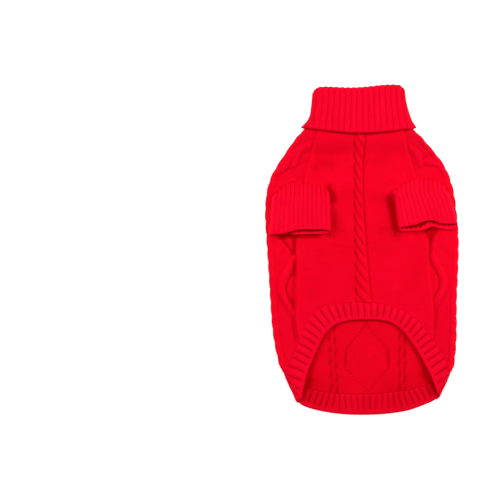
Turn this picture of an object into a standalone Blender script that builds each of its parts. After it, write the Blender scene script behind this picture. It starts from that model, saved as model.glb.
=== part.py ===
"""A small turtleneck dog sweater in cable knit, lying on its back on a flat surface.

X runs across the chest, +Y towards the collar and +Z up. The origin is on the surface, under
the middle of the sweater. Tables and lengths are in millimetres, and MM turns them into metres.

Six pieces are sewn together: the back panel, which wraps round both sides, the belly panel, a
ribbed hem band round the whole opening, two ribbed sleeves and a ribbed turned-down collar.
Each is one wall: an outer face with its ribs and cables, a plain inner face, and the rims.
"""

from collections import namedtuple

import bmesh
import bpy
import numpy as np

MM = 0.001
SEAM_GAP = 0.35
PLAIN_CLOTH = 2.0
RIB_CLOTH = 2.0
SLEEVE_CLOTH = 1.6
LAID_GAP = 0.8

# The rounded side folds, and how far in from them the upper layer stays puffed up.
FOLD_RADIUS = 4.5
PUFF_RISE = 2.2
PUFF_FULL = 10.0
PUFF_END = 42.0

# The neck seam, and how the body rises over the collar's lower turned-down layer.
NECK_Y = 134.0
NECK_LIFT = 2.9
NECK_LIFT_Y = (98.0, 122.0)
NECK_OPEN = 2.5
NECK_OPEN_Y = (100.0, 131.0)

# The collar's ring: its middle height, half the height inside, and each face's offset from it.
COLLAR_MIDDLE_Z = 6.55
COLLAR_HALF_INSIDE = 1.65
COLLAR_INNER_LEG = 2.1
COLLAR_OUTER_LEG_STARTS = 2.4
COLLAR_OUTER_LEG = 4.9
# The share of the collar's width in each rounded side, and how its ribs spread towards its lip.
COLLAR_CORNER = 0.045
COLLAR_SPREAD = 0.08

# Knit relief: pitch, width and height of the ribs, ropes and diamond strands. It fades out
# under the collar, and the side diamonds stop below the sleeves.
UNDER_COLLAR_Y = (118.0, 125.0)
BELOW_SLEEVES_Y = (70.0, 78.0)
COLLAR_RIBS = 16
HEM_RIB_PITCH = 7.2
COLLAR_RIB_HEIGHT = 0.9
SLEEVE_RIB_HEIGHT = 0.7
HEM_RIB_HEIGHT = 1.0
BELLY_ROPE_PITCH = 13.13
BELLY_ROPE_HEIGHT = 1.6
SIDE_ROPE_PITCH = 14.3
SIDE_ROPE_HALF_WIDTH = 7.8
SIDE_ROPE_HEIGHT = 1.5
DIAMOND_LENGTH = 87.7
DIAMOND_HALF_WIDTH = 22.3
STRAND_HALF_WIDTH = 4.2
STRAND_HEIGHT = 1.7
ROLLED_EDGE = 0.6

# Rows of points along the body: even steps, and close ones past the armholes. An armhole
# pushes the columns of points aside as far in as its reach, a share of the belly's width.
BODY_STEP = 3.5
ARMHOLE_ROWS = (76.5, 75.7, 75.2, 74.4, 73.0, 71.7, 71.2, 70.2, 68.5, 66.0, 63.6, 62.2, 60.3, 58.4,
                57.0, 55.8, 54.9, 54.2, 53.2, 52.6, 52.1, 50.5)
ARMHOLE_REACH = 0.42
WAIST_Y = 20.0
LOWEST_Y = -131.0

# A face of a wall: a grid of points, with a place for each row and each column that matches
# the places on the wall's other face. A ring's columns close up after period.
Face = namedtuple("Face", "points rows columns period")

# From the middle of the chest to the middle of the whole sweater.
MIDDLE = np.array([0.28, -0.42, 0.0])

RED = (0.86, 0.004, 0.016, 1.0)
DEEP_RED = (0.80, 0.003, 0.014, 1.0)


def table(columns, *rows):
    """A table of sizes as one array for each named column."""
    return dict(zip(columns.split(), np.array(rows, float).T))


# Side folds and the two seams between back and belly, by height along the body.
BODY = table(
    "y left right left_seam right_seam",
    (-165, -66.0, 79.0, -62.0, 79.5),
    (-147, -76.5, 87.5, -62.0, 79.5),
    (-131, -84.0, 95.4, -62.5, 79.5),
    (-112, -89.3, 98.8, -65.0, 79.5),
    (-98, -92.2, 100.1, -68.2, 79.2),
    (-80, -94.6, 100.8, -71.0, 78.8),
    (-54, -96.4, 101.0, -70.6, 77.0),
    (-22, -98.4, 102.3, -69.6, 73.4),
    (10, -100.4, 102.9, -70.0, 71.8),
    (43, -101.9, 100.4, -66.8, 66.0),
    (64, -99.8, 97.3, -63.7, 61.6),
    (80, -94.8, 92.4, -60.6, 58.0),
    (96, -85.3, 83.8, -56.6, 53.2),
    (107, -77.9, 74.8, -54.0, 50.4),
    (118, -70.2, 65.4, -50.6, 47.2),
    (128, -62.3, 56.4, -47.4, 44.6),
    (134, -57.4, 51.4, -45.6, 43.2),
)

# The hem band on the belly side, from the left fold over the arch to the right fold: its
# sewn edge and its free edge. One row for each bend, laid along the ribs.
ARCH = table(
    "sewn_x sewn_y free_x free_y",
    (-80.5, -128.7, -64.6, -159.6),
    (-77.6, -121.5, -61.6, -146.0),
    (-73.8, -112.5, -57.2, -131.0),
    (-68.0, -98.6, -50.2, -114.0),
    (-61.2, -82.6, -42.6, -97.4),
    (-50.8, -67.0, -34.5, -86.0),
    (-37.5, -59.2, -25.8, -79.8),
    (-19.5, -56.4, -14.5, -76.6),
    (2.0, -55.6, 3.5, -75.2),
    (25.5, -58.4, 21.5, -76.0),
    (43.0, -63.6, 34.0, -79.4),
    (56.5, -72.0, 43.4, -86.6),
    (68.0, -84.0, 51.8, -97.0),
    (79.0, -98.6, 61.2, -111.0),
    (86.4, -109.4, 68.4, -124.0),
    (91.2, -118.5, 75.4, -138.0),
    (92.3, -129.0, 81.0, -153.2),
)
# The rows of the arch where the two seams between back and belly meet it.
LEFT_SEAM_ROW = 3
RIGHT_SEAM_ROW = 13

# The hem band on the back side, from the right fold to the left one.
BACK_HEM = table(
    "sewn_x sewn_y free_x free_y",
    (92.3, -129.0, 79.8, -160.2),
    (86.0, -136.0, 75.4, -162.9),
    (77.5, -141.8, 67.6, -166.2),
    (57.0, -148.8, 50.8, -172.1),
    (33.0, -152.8, 29.4, -175.6),
    (3.0, -154.6, 3.5, -177.0),
    (-27.0, -153.8, -24.6, -175.8),
    (-46.0, -151.4, -43.0, -173.0),
    (-62.0, -146.0, -56.2, -169.6),
    (-72.5, -139.4, -63.2, -166.8),
    (-80.5, -128.7, -67.2, -163.8),
)
# Which way the hem's folds face, and how much less they reach out at the free edge.
LEFT_FOLD_OUT = (-0.89, -0.456)
RIGHT_FOLD_OUT = (0.912, -0.41)
HEM_FOLD_TAPER = 0.72

# The collar's side folds by height, and its turned top and its free edge by how far across.
COLLAR_SIDES = table(
    "y left right",
    (124, -66.0, 60.2),
    (131, -64.2, 58.1),
    (137, -58.1, 53.9),
    (143, -55.1, 51.5),
    (150, -53.8, 49.4),
    (156, -53.0, 48.0),
    (165, -52.3, 46.5),
    (177, -51.9, 45.9),
)
COLLAR_ENDS = table(
    "across top free",
    (0.00, 168.0, 129.8),
    (0.02, 171.6, 129.6),
    (0.05, 173.0, 129.3),
    (0.10, 173.7, 128.6),
    (0.20, 173.5, 127.2),
    (0.34, 172.8, 125.4),
    (0.48, 172.9, 124.4),
    (0.62, 174.0, 124.7),
    (0.76, 175.4, 126.2),
    (0.88, 175.9, 128.0),
    (0.94, 175.6, 128.8),
    (0.98, 173.9, 129.4),
    (1.00, 170.0, 129.6),
)

# Each sleeve: its ribs across, its armhole's ends in x, its mouth's ends in x, the share of its
# width where the seam crosses the armhole, and by how far across, the armhole's two edges and
# the mouth's lips.
SLEEVES = {
    "sleeve_left": {
        "ribs": 13,
        "armhole_x": (-94.6, -34.5),
        "mouth_x": (-99.4, -32.6),
        "seam_across": 0.52,
        "edges": table(
            "across top low upper_lip lower_lip",
            (0.00, 57.0, 57.0, 15.9, 15.6),
            (0.08, 63.0, 54.6, 16.4, 15.4),
            (0.22, 69.8, 53.4, 18.2, 15.4),
            (0.40, 71.2, 52.6, 20.6, 16.0),
            (0.52, 71.5, 52.4, 21.4, 16.3),
            (0.70, 70.2, 52.8, 21.6, 16.4),
            (0.86, 66.6, 54.0, 21.4, 16.6),
            (0.95, 64.4, 56.2, 20.8, 17.4),
            (1.00, 60.2, 60.2, 19.4, 18.8),
        ),
    },
    "sleeve_right": {
        "ribs": 12,
        "armhole_x": (32.8, 90.2),
        "mouth_x": (39.6, 103.2),
        "seam_across": 0.445,
        "edges": table(
            "across top low upper_lip lower_lip",
            (0.00, 60.4, 60.4, 22.8, 20.6),
            (0.06, 64.6, 57.6, 23.9, 19.8),
            (0.15, 68.2, 56.0, 26.0, 19.6),
            (0.34, 73.6, 54.8, 29.6, 20.2),
            (0.445, 75.4, 54.4, 31.8, 21.4),
            (0.56, 75.3, 54.6, 32.4, 24.2),
            (0.70, 75.0, 55.0, 28.6, 22.4),
            (0.86, 74.0, 56.2, 27.5, 21.4),
            (0.95, 69.6, 58.4, 27.8, 21.8),
            (1.00, 62.2, 62.2, 27.0, 24.4),
        ),
    },
}
# A folded sleeve's height, the width of its rounded sides, the radius of the bend at the
# armhole, how much it puffs up there, and its gap to the body below.
SLEEVE_HEIGHT = 5.6
SLEEVE_SIDE = 5.0
SLEEVE_BEND = 1.9
SLEEVE_PUFF = 0.2
SLEEVE_CLEAR = 0.6

# Strands that cross on the shoulders, above the armholes.
SHOULDER_STRANDS = (
    table("x y", (-50, 113), (-62, 108.5), (-68.5, 103.5), (-71, 96), (-73, 90)),
    table("x y", (-71, 106), (-76.5, 98.5), (-82.5, 89.5), (-95, 78.5)),
    table("x y", (46, 112), (56, 105.5), (61.5, 99.5), (63, 92)),
    table("x y", (93, 81), (84, 91), (76, 94.5), (69, 94.5)),
)
DIAMOND_COLUMNS = table("x crossing_y", (-63.7, 2.9), (66.6, 8.0))
BELLY_ROPE = table(
    "y x half_width",
    (-60, 3.0, 8.3),
    (-45, 2.2, 7.8),
    (-31, 1.4, 6.9),
    (-9, 0.4, 6.0),
    (12, -0.8, 5.5),
    (33, -1.7, 4.9),
    (54, -2.5, 4.4),
    (75, -2.7, 4.3),
    (94, -2.6, 4.4),
    (118, -1.8, 5.3),
    (134, -1.6, 5.4),
)


def smooth(knots, values, at):
    """Values on a smooth curve through the knots, held level past both ends."""
    at = np.clip(at, knots[0], knots[-1])
    slopes = np.gradient(values, knots)
    i = np.clip(np.searchsorted(knots, at) - 1, 0, len(knots) - 2)
    span = knots[i + 1] - knots[i]
    t = (at - knots[i]) / span
    start = values[i] * (1 + 2 * t) * (1 - t) ** 2 + slopes[i] * span * t * (1 - t) ** 2
    end = values[i + 1] * t**2 * (3 - 2 * t) + slopes[i + 1] * span * t**2 * (t - 1)
    return start + end


def ease(value, low, high):
    """0 below low, 1 above high and a soft step between."""
    t = np.clip((value - low) / (high - low), 0, 1)
    return t * t * (3 - 2 * t)


def mix(first, second, share):
    return first + (second - first) * share


def body(column, y):
    return smooth(BODY["y"], BODY[column], y)


def neck_lift(y):
    """How far the body's lower layer is off the surface."""
    return NECK_LIFT * ease(y, *NECK_LIFT_Y)


def under_top(x, y):
    """Height of the hollow's ceiling: the inner face of the upper layer."""
    from_fold = np.minimum(x - body("left", y), body("right", y) - x)
    near_neck = ease(y, *NECK_OPEN_Y)
    puff = PUFF_RISE * (1 - ease(from_fold, PUFF_FULL, PUFF_END)) * (1 - near_neck)
    return neck_lift(y) + PLAIN_CLOTH + LAID_GAP + puff + NECK_OPEN * near_neck


def rib(phase, height):
    """Broad ridges with a sharp valley at each whole number."""
    return height * np.abs(np.sin(np.pi * phase)) ** 0.6


def rope(across, along, half_width, pitch, height):
    """A two-strand rope cable whose strands slant down to +across."""
    inside = np.clip(1 - (across / half_width) ** 2, 0, 1)
    strand = np.abs(np.sin(np.pi * (along + 1.5 * across) / pitch)) ** 0.7
    return height * np.sqrt(inside) * (0.3 + 0.7 * strand)


def strand_bump(distance):
    return STRAND_HEIGHT * np.cos(np.pi / 2 * np.clip(distance / STRAND_HALF_WIDTH, 0, 1)) ** 1.2


def diamond(x, y, column_x, crossing_y):
    """Two strands that cross every diamond length and bow out between."""
    turn = np.pi * (y - crossing_y) / DIAMOND_LENGTH
    sway = DIAMOND_HALF_WIDTH * np.arcsin(0.97 * np.sin(turn)) / np.arcsin(0.97)
    lean = np.cos(np.arctan(2 * DIAMOND_HALF_WIDTH / DIAMOND_LENGTH))
    nearest = np.minimum(np.abs(x - column_x - sway), np.abs(x - column_x + sway))
    return strand_bump(nearest * lean)


def polyline_distance(x, y, line):
    """Distance to the nearest stretch of a line of points."""
    nearest = np.full(np.shape(x), 1e9)
    for i in range(len(line["x"]) - 1):
        start = line["x"][i], line["y"][i]
        run = line["x"][i + 1] - start[0], line["y"][i + 1] - start[1]
        share = ((x - start[0]) * run[0] + (y - start[1]) * run[1]) / (run[0] ** 2 + run[1] ** 2)
        share = np.clip(share, 0, 1)
        away = np.hypot(x - start[0] - share * run[0], y - start[1] - share * run[1])
        nearest = np.minimum(nearest, away)
    return nearest


def clear_of_sleeves(x, y):
    """1 where the relief is free, 0 where a sleeve presses on it."""
    free = 1.0
    for sleeve in SLEEVES.values():
        left, right = sleeve["mouth_x"][0], sleeve["mouth_x"][1]
        edges = sleeve["edges"]
        across = np.clip((x - left) / (right - left), 0, 1)
        top = smooth(edges["across"], edges["top"], across)
        lip = smooth(edges["across"], edges["lower_lip"], across)
        covered = ease(x, left - 3.5, left - 0.5) * (1 - ease(x, right + 0.5, right + 4))
        covered *= ease(y, lip - 4, lip - 1) * (1 - ease(y, top + 0.5, top + 3.5))
        free = free * (1 - covered)
    return free


def side_relief(x, y):
    """Diamond strands on the stretches of back panel that wrap round to the belly side."""
    bump = np.zeros(np.shape(x))
    below = 1 - ease(y, *BELOW_SLEEVES_Y)
    for column_x, crossing_y in zip(DIAMOND_COLUMNS["x"], DIAMOND_COLUMNS["crossing_y"]):
        bump = np.maximum(bump, diamond(x, y, column_x, crossing_y) * below)
    for line in SHOULDER_STRANDS:
        bump = np.maximum(bump, strand_bump(polyline_distance(x, y, line)))
    from_seam = np.maximum(body("left_seam", y) - x, x - body("right_seam", y))
    return bump * ease(from_seam, 0, 2) * (1 - ease(y, *UNDER_COLLAR_Y)) * clear_of_sleeves(x, y)


def fold_relief(angle, x, y):
    """The rope cable along a side fold. It fades out where the cloth turns under."""
    bump = rope(FOLD_RADIUS * (angle - 0.2), y, SIDE_ROPE_HALF_WIDTH, SIDE_ROPE_PITCH, SIDE_ROPE_HEIGHT)
    return bump * ease(angle, -0.9, -0.3) * (1 - ease(y, *UNDER_COLLAR_Y)) * clear_of_sleeves(x, y)


def belly_relief(x, y):
    """The rope cable down the middle of the belly panel, and its rolled seam edges."""
    middle = smooth(BELLY_ROPE["y"], BELLY_ROPE["x"], y)
    half_width = smooth(BELLY_ROPE["y"], BELLY_ROPE["half_width"], y)
    bump = rope(x - middle, y + 3.4, half_width, BELLY_ROPE_PITCH, BELLY_ROPE_HEIGHT)
    from_seam = np.minimum(x - body("left_seam", y), body("right_seam", y) - x)
    return bump * (1 - ease(y, *UNDER_COLLAR_Y)) - ROLLED_EDGE * (1 - ease(from_seam, 0, 4))


class Band:
    """One side of the hem band: its sewn and free edges, by the share of its length."""

    def __init__(self, rows):
        self.rows = rows
        middle_x = (rows["sewn_x"] + rows["free_x"]) / 2
        middle_y = (rows["sewn_y"] + rows["free_y"]) / 2
        steps = np.hypot(np.diff(middle_x), np.diff(middle_y))
        self.knots = np.concatenate([[0], np.cumsum(steps)])
        self.length = self.knots[-1]

    def share_at(self, row):
        return self.knots[row] / self.length

    def point(self, share, width_share):
        """A point between the sewn edge (0) and the free edge (1)."""
        at = np.asarray(share) * self.length
        ends = [smooth(self.knots, self.rows[name], at) for name in ("sewn_x", "sewn_y", "free_x", "free_y")]
        return mix(ends[0], ends[2], width_share), mix(ends[1], ends[3], width_share)

    def beside(self, share):
        """A point outside the sewn edge, on the line of the rib there, a seam's gap from the edge."""
        edge = np.array(self.point(share, 0))
        rib_line = edge - self.point(share, 1)
        rib_line = rib_line / np.hypot(*rib_line)
        before, past = np.maximum(share - 0.004, 0), np.minimum(share + 0.004, 1)
        run = np.subtract(self.point(past, 0), self.point(before, 0))
        squareness = abs(rib_line[0] * run[1] - rib_line[1] * run[0]) / np.hypot(*run)
        return edge + SEAM_GAP / max(squareness, 0.4) * rib_line


ARCH_BAND = Band(ARCH)
BACK_BAND = Band(BACK_HEM)


def fold_line(side):
    """Which end of the arch is at this side fold, and the way the fold faces there."""
    return (0.0, LEFT_FOLD_OUT) if side < 0 else (1.0, RIGHT_FOLD_OUT)


def fold_beside(side, reach):
    """Where a column of the fold, this far out from its middle line, meets the band."""
    share, out = fold_line(side)
    x, y = ARCH_BAND.beside(share)
    return x + out[0] * reach, y + out[1] * reach


def body_rows():
    """Heights of the rows of points, from the neck seam down, and the coarser inner ones."""
    upper = np.linspace(NECK_Y, ARMHOLE_ROWS[0] + 2, 17)
    lower = np.arange(ARMHOLE_ROWS[-1] - 2, LOWEST_Y, -BODY_STEP)
    rows = np.concatenate([upper, ARMHOLE_ROWS, lower, [LOWEST_Y]])
    inner = np.concatenate([upper[::3], ARMHOLE_ROWS, lower[2::4], [LOWEST_Y]])
    return rows, np.unique(np.concatenate([inner, [NECK_Y]]))[::-1]


def reach_end(rows, end_y):
    """The same rows with those below the waist stretched to end at end_y."""
    stretch = (WAIST_Y - end_y) / (WAIST_Y - LOWEST_Y)
    return np.where(rows > WAIST_Y, rows, WAIST_Y + (rows - WAIST_Y) * stretch)


def settle(rows, shift):
    """A shift that grows over the lowest rows, so that a column ends where the band does."""
    return shift * ease(-rows, 60, -LOWEST_Y)


def armhole_rim(sleeve, y, side, otherwise):
    """x of the armhole's rim on one side of the seam, or otherwise where there is no armhole."""
    left, right = sleeve["armhole_x"]
    edges = sleeve["edges"]
    outer = 0.0 if side < 0 else 1.0
    turn = np.sin(np.linspace(0, np.pi / 2, 24))
    across = mix(sleeve["seam_across"], outer, turn)
    x = mix(left, right, across) + side * SEAM_GAP * turn
    top = smooth(edges["across"], edges["top"], across) + SEAM_GAP
    low = smooth(edges["across"], edges["low"], across) - SEAM_GAP
    rim_x = np.concatenate([x, x[::-1]])
    rim_y = np.concatenate([np.minimum.accumulate(top), np.minimum.accumulate(low[::-1])])
    in_armhole = (y < rim_y[0]) & (y > rim_y[-1])
    return np.where(in_armhole, np.interp(y, rim_y[::-1], rim_x[::-1]), otherwise)


def back_edge(side, y):
    """The back panel's sewn edge on the belly side, with its half of the armhole."""
    seam = body("left_seam", y) - SEAM_GAP / 2 if side < 0 else body("right_seam", y) + SEAM_GAP / 2
    sleeve = SLEEVES["sleeve_left" if side < 0 else "sleeve_right"]
    return armhole_rim(sleeve, y, side, seam)


def belly_edge(side, y):
    """The belly panel's sewn edge, with its half of the armhole."""
    seam = body("left_seam", y) + SEAM_GAP / 2 if side < 0 else body("right_seam", y) - SEAM_GAP / 2
    sleeve = SLEEVES["sleeve_left" if side < 0 else "sleeve_right"]
    return armhole_rim(sleeve, y, -side, seam)


def wrap_column(side, share, rows, inner):
    """A column on the belly side, from the seam (0) to the side fold (1)."""
    seam_share = ARCH_BAND.share_at(LEFT_SEAM_ROW if side < 0 else RIGHT_SEAM_ROW)
    seam_share += side * SEAM_GAP / ARCH_BAND.length
    end_x, end_y = ARCH_BAND.beside(mix(seam_share, 0.0 if side < 0 else 1.0, share))
    y = reach_end(rows, end_y)
    fold = body("left", y) + FOLD_RADIUS if side < 0 else body("right", y) - FOLD_RADIUS
    x = mix(back_edge(side, y), fold, share)
    x = x + settle(rows, end_x - x[-1])
    z = under_top(x, y)
    if not inner:
        rolled = ROLLED_EDGE * (1 - ease(share, 0, 0.12))
        z = z + PLAIN_CLOTH + side_relief(x, y) - rolled
    return np.stack([x, y, z], axis=-1)


def fold_column(side, angle, rows, inner):
    """A column round a side fold: the angle is 90 degrees on top and -90 underneath."""
    depth = PLAIN_CLOTH if inner else 0.0
    plain_reach = (FOLD_RADIUS - depth) * np.cos(angle)
    end_x, end_y = fold_beside(side, plain_reach)
    y = reach_end(rows, end_y)
    edge = body("left" if side < 0 else "right", y)
    middle_x = edge - side * FOLD_RADIUS
    top, bottom = under_top(middle_x, y) + PLAIN_CLOTH, neck_lift(y)
    ridge = 0.0 if inner else fold_relief(angle, middle_x + side * plain_reach, y)
    x = middle_x + side * (plain_reach + ridge * np.cos(angle))
    x = x + settle(rows, end_x - middle_x[-1] - side * plain_reach)
    z = (top + bottom) / 2 + ((top - bottom) / 2 - depth + ridge) * np.sin(angle)
    return np.stack([x, y, np.maximum(z, 0)], axis=-1)


def under_column(share, rows, inner):
    """A column of the layer that lies on the surface, from the left fold (0) to the right one (1)."""
    end_x, end_y = BACK_BAND.beside(1 - share)
    y = reach_end(rows, end_y)
    x = mix(body("left", y) + FOLD_RADIUS, body("right", y) - FOLD_RADIUS, share)
    x = x + settle(rows, end_x - x[-1])
    z = neck_lift(y) + (PLAIN_CLOTH if inner else 0.0)
    return np.stack([x, y, z], axis=-1)


def back_face(rows, wrap_steps, fold_steps, under_steps, inner):
    """The whole back panel, from its left seam round underneath to its right seam."""
    wraps = np.linspace(0, 1, wrap_steps, endpoint=False)
    turns = np.linspace(0, 1, fold_steps)
    unders = ((1 - np.cos(np.linspace(0, np.pi, under_steps + 1))) / 2)[1:-1]
    angles = np.pi / 2 - np.pi * turns
    columns = [wrap_column(-1, share, rows, inner) for share in wraps]
    columns += [fold_column(-1, angle, rows, inner) for angle in angles]
    columns += [under_column(share, rows, inner) for share in unders]
    columns += [fold_column(1, angle, rows, inner) for angle in angles[::-1]]
    columns += [wrap_column(1, share, rows, inner) for share in wraps[::-1]]
    places = np.concatenate([wraps, 1 + turns, 2 + unders, 3 + turns, 5 - wraps[::-1]])
    return Face(np.stack(columns, axis=1), -rows, places, 0)


def belly_face(rows, shares, inner):
    """The belly panel between its two seams, from the neck down to the arch."""
    seams = ARCH_BAND.share_at(LEFT_SEAM_ROW), ARCH_BAND.share_at(RIGHT_SEAM_ROW)
    columns = []
    for share in shares:
        end_x, end_y = ARCH_BAND.beside(mix(*seams, share))
        y = reach_end(rows, end_y)
        left, right = body("left_seam", y), body("right_seam", y)
        x = mix(left, right, share)
        x = x + (belly_edge(-1, y) - left) * np.maximum(1 - share / ARMHOLE_REACH, 0)
        x = x + (belly_edge(1, y) - right) * np.maximum(1 - (1 - share) / ARMHOLE_REACH, 0)
        x = x + settle(rows, end_x - x[-1])
        z = under_top(x, y)
        if not inner:
            z = z + PLAIN_CLOTH + belly_relief(x, y)
        columns.append(np.stack([x, y, z], axis=-1))
    return Face(np.stack(columns, axis=1), -rows, shares, 0)


def hem_face(widths, points_a_rib, fold_steps, back_steps, inner):
    """The hem band all the way round, by rows from its sewn edge (0) to its free edge (1)."""
    ribs = round(ARCH_BAND.length / HEM_RIB_PITCH)
    arch = np.linspace(0, 1, ribs * points_a_rib + 1)
    turns = np.linspace(0, 1, fold_steps)[1:-1]
    back = np.linspace(0, 1, back_steps)
    angles = np.pi / 2 - np.pi * turns
    rings = []
    for width in widths:
        x, y = ARCH_BAND.point(arch, width)
        z = under_top(x, y)
        if not inner:
            z = z + RIB_CLOTH + rib(arch * ribs, HEM_RIB_HEIGHT)
        back_x, back_y = BACK_BAND.point(back, width)
        back_z = np.full(len(back), RIB_CLOTH if inner else 0.0)
        ring = [
            np.stack([x, y, z], axis=-1),
            hem_fold(1, width, angles, inner),
            np.stack([back_x, back_y, back_z], axis=-1),
            hem_fold(-1, width, angles[::-1], inner),
        ]
        rings.append(np.concatenate(ring))
    places = np.concatenate([arch, 1 + turns, 2 + back, 3 + turns])
    return Face(np.stack(rings), widths, places, 4)


def hem_fold(side, width, angles, inner):
    """The band where it turns under at a side fold, from the arch's end to the back's."""
    share, out = fold_line(side)
    x, y = ARCH_BAND.point(share, width)
    under_x, under_y = BACK_BAND.point(1 - share, width)
    under_share = (1 - np.sin(angles)) / 2
    top = under_top(x, y) + RIB_CLOTH
    inset = RIB_CLOTH if inner else 0.0
    reach = (FOLD_RADIUS - inset) * np.cos(angles) * mix(1, HEM_FOLD_TAPER, width)
    z = top / 2 + (top / 2 - inset) * np.sin(angles)
    x = mix(x, under_x, under_share) + out[0] * reach
    y = mix(y, under_y, under_share) + out[1] * reach
    return np.stack([x, y, z], axis=-1)


def ring_places(upper_steps, side_steps, lower_steps):
    """Round a flattened ring: the share across, the angle and the place of each point."""
    upper = np.linspace(0, 1, upper_steps + 1)
    lower = np.linspace(0, 1, lower_steps + 1)
    turns = np.linspace(0, 1, side_steps + 1)[1:-1]
    turn = np.pi / 2 - np.pi * turns
    across = np.concatenate([upper, np.ones(len(turn)), 1 - lower, np.zeros(len(turn))])
    top, bottom = np.full(len(upper), np.pi / 2), np.full(len(lower), -np.pi / 2)
    angle = np.concatenate([top, turn, bottom, -np.pi + turn])
    return across, angle, np.concatenate([upper, 1 + turns, 2 + lower, 3 + turns])


def collar_side(name, y, offset):
    """Where a side of one of the collar's layers would be if it spread as its ribs do, and its flare."""
    outward = -1 if name == "left" else 1
    inset = outward * (COLLAR_OUTER_LEG - offset)
    side = smooth(COLLAR_SIDES["y"], COLLAR_SIDES[name], y) - inset
    straight = COLLAR_SIDES[name][-1] + outward * COLLAR_SPREAD * (COLLAR_SIDES["y"][-1] - y) - inset
    return straight, side - straight


def collar_face(ring, profile_steps, inner):
    """The collar by rows, from the neck seam up inside, over the turned top and down outside.

    Its first face looks into the neck and, past the turn, outwards. The inner one is the face
    that is folded onto itself.
    """
    across, angle, places = ring
    offsets = (COLLAR_INNER_LEG, COLLAR_OUTER_LEG_STARTS) if inner else (0.0, COLLAR_OUTER_LEG)
    turn_radius = (offsets[1] - offsets[0]) / 2
    place = mix(COLLAR_CORNER, 1 - COLLAR_CORNER, across) + COLLAR_CORNER * np.cos(angle)
    top = smooth(COLLAR_ENDS["across"], COLLAR_ENDS["top"], place) - COLLAR_OUTER_LEG / 2
    free = smooth(COLLAR_ENDS["across"], COLLAR_ENDS["free"], place)
    inside, turns, outside = (np.linspace(0, 1, steps + 1) for steps in profile_steps)
    rows = [(mix(NECK_Y + SEAM_GAP, top, share), offsets[0]) for share in inside]
    for turn in turns[1:-1] * np.pi:
        rows.append((top + turn_radius * np.sin(turn), np.mean(offsets) - turn_radius * np.cos(turn)))
    rows += [(mix(top, free, share), offsets[1]) for share in outside]
    rings = []
    for y, offset in rows:
        left, left_flare = collar_side("left", y[across == 0][0], offset)
        right, right_flare = collar_side("right", y[across == 1][0], offset)
        flare = np.where(across < 0.5, left_flare, right_flare) * (2 * across - 1) ** 4
        radius = COLLAR_HALF_INSIDE + offset
        outside_up = ease(offset, COLLAR_OUTER_LEG / 2, COLLAR_OUTER_LEG) * (np.sin(angle) > -0.3)
        ridge = 0.0 if inner else rib(across * COLLAR_RIBS, COLLAR_RIB_HEIGHT) * outside_up
        x = mix(left + radius, right - radius, across) + flare + (radius + ridge) * np.cos(angle)
        z = COLLAR_MIDDLE_Z + (radius + ridge) * np.sin(angle)
        rings.append(np.stack([x, y, z], axis=-1))
    row_places = np.concatenate([inside, 1 + turns[1:-1], 2 + outside])
    return Face(np.stack(rings), row_places, places, 4)


def side_swell(across, width, side):
    """0 at the two ends and 1 past a rounded side of the given width."""
    from_end = np.minimum(across, 1 - across) * width
    return np.sqrt(np.clip(1 - (1 - np.clip(from_end / side, 0, 1)) ** 2, 0, 1))


def sleeve_face(sleeve, ring, bend_steps, length_steps, inner):
    """A sleeve by rings, from its armhole, over the bend and down to its mouth."""
    across, upper, places = ring
    edges = sleeve["edges"]
    top, low, upper_lip, lower_lip = (
        smooth(edges["across"], edges[name], across) for name in ("top", "low", "upper_lip", "lower_lip")
    )
    inset = SLEEVE_CLOTH if inner else 0.0
    ends = [np.array(sleeve[name]) for name in ("armhole_x", "mouth_x")]
    bends = np.linspace(0, 1, bend_steps + 1)
    lengths = np.linspace(0, 1, length_steps + 1)[1:]
    rings = []
    for bend, length in [(bend, 0.0) for bend in bends] + [(1.0, length) for length in lengths]:
        travel = 0.3 * ease(bend, 0.5, 1) + 0.7 * length
        left, right = mix(ends[0], ends[1], travel) + (inset, -inset)
        x = mix(left, right, across)
        swell = side_swell(across, right - left, SLEEVE_SIDE - inset)
        flat_height = (SLEEVE_HEIGHT - 2 * inset) * swell
        armhole_height = np.maximum(top - low - 2 * inset * swell, 0)
        height = mix(armhole_height, flat_height, ease(bend, 0, 1))
        angle = bend * np.pi / 2
        start = SLEEVE_BEND + inset * mix(swell, 1, ease(bend, 0, 1))
        puff = 1 + SLEEVE_PUFF * np.sin(np.pi * bend)
        pivot_y = low - SLEEVE_BEND
        seat = under_top(x, pivot_y) + PLAIN_CLOTH / 2
        lip = np.where(upper, upper_lip, lower_lip)
        y = mix(pivot_y + (start + height * upper) * np.cos(angle), lip, length)
        rest = under_top(x, y) + PLAIN_CLOTH + SLEEVE_CLEAR - SLEEVE_BEND
        z = mix(seat, rest, ease(length, 0, 0.35)) + (start + flat_height * puff * upper) * np.sin(angle)
        if not inner:
            ridge = rib(across * sleeve["ribs"], SLEEVE_RIB_HEIGHT) * upper * swell * ease(bend, 0.1, 0.5)
            z = z + ridge * np.sin(angle)
            y = y + ridge * np.cos(angle)
        rings.append(np.stack([x, y, z], axis=-1))
    return Face(np.stack(rings), np.concatenate([bends, 1 + lengths]), places, 2)


def sleeve_places(upper_steps, lower_steps):
    """Round a sleeve: the share across, 1 on the upper layer or 0 on the lower one, and the place."""
    tip = 0.004
    upper = np.linspace(0, 1, upper_steps + 1)
    lower = np.linspace(tip, 1 - tip, lower_steps + 1)
    is_upper = np.concatenate([np.ones(len(upper)), np.zeros(len(lower))])
    return np.concatenate([upper, 1 - lower]), is_upper, np.concatenate([upper, 1 + lower])


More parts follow.
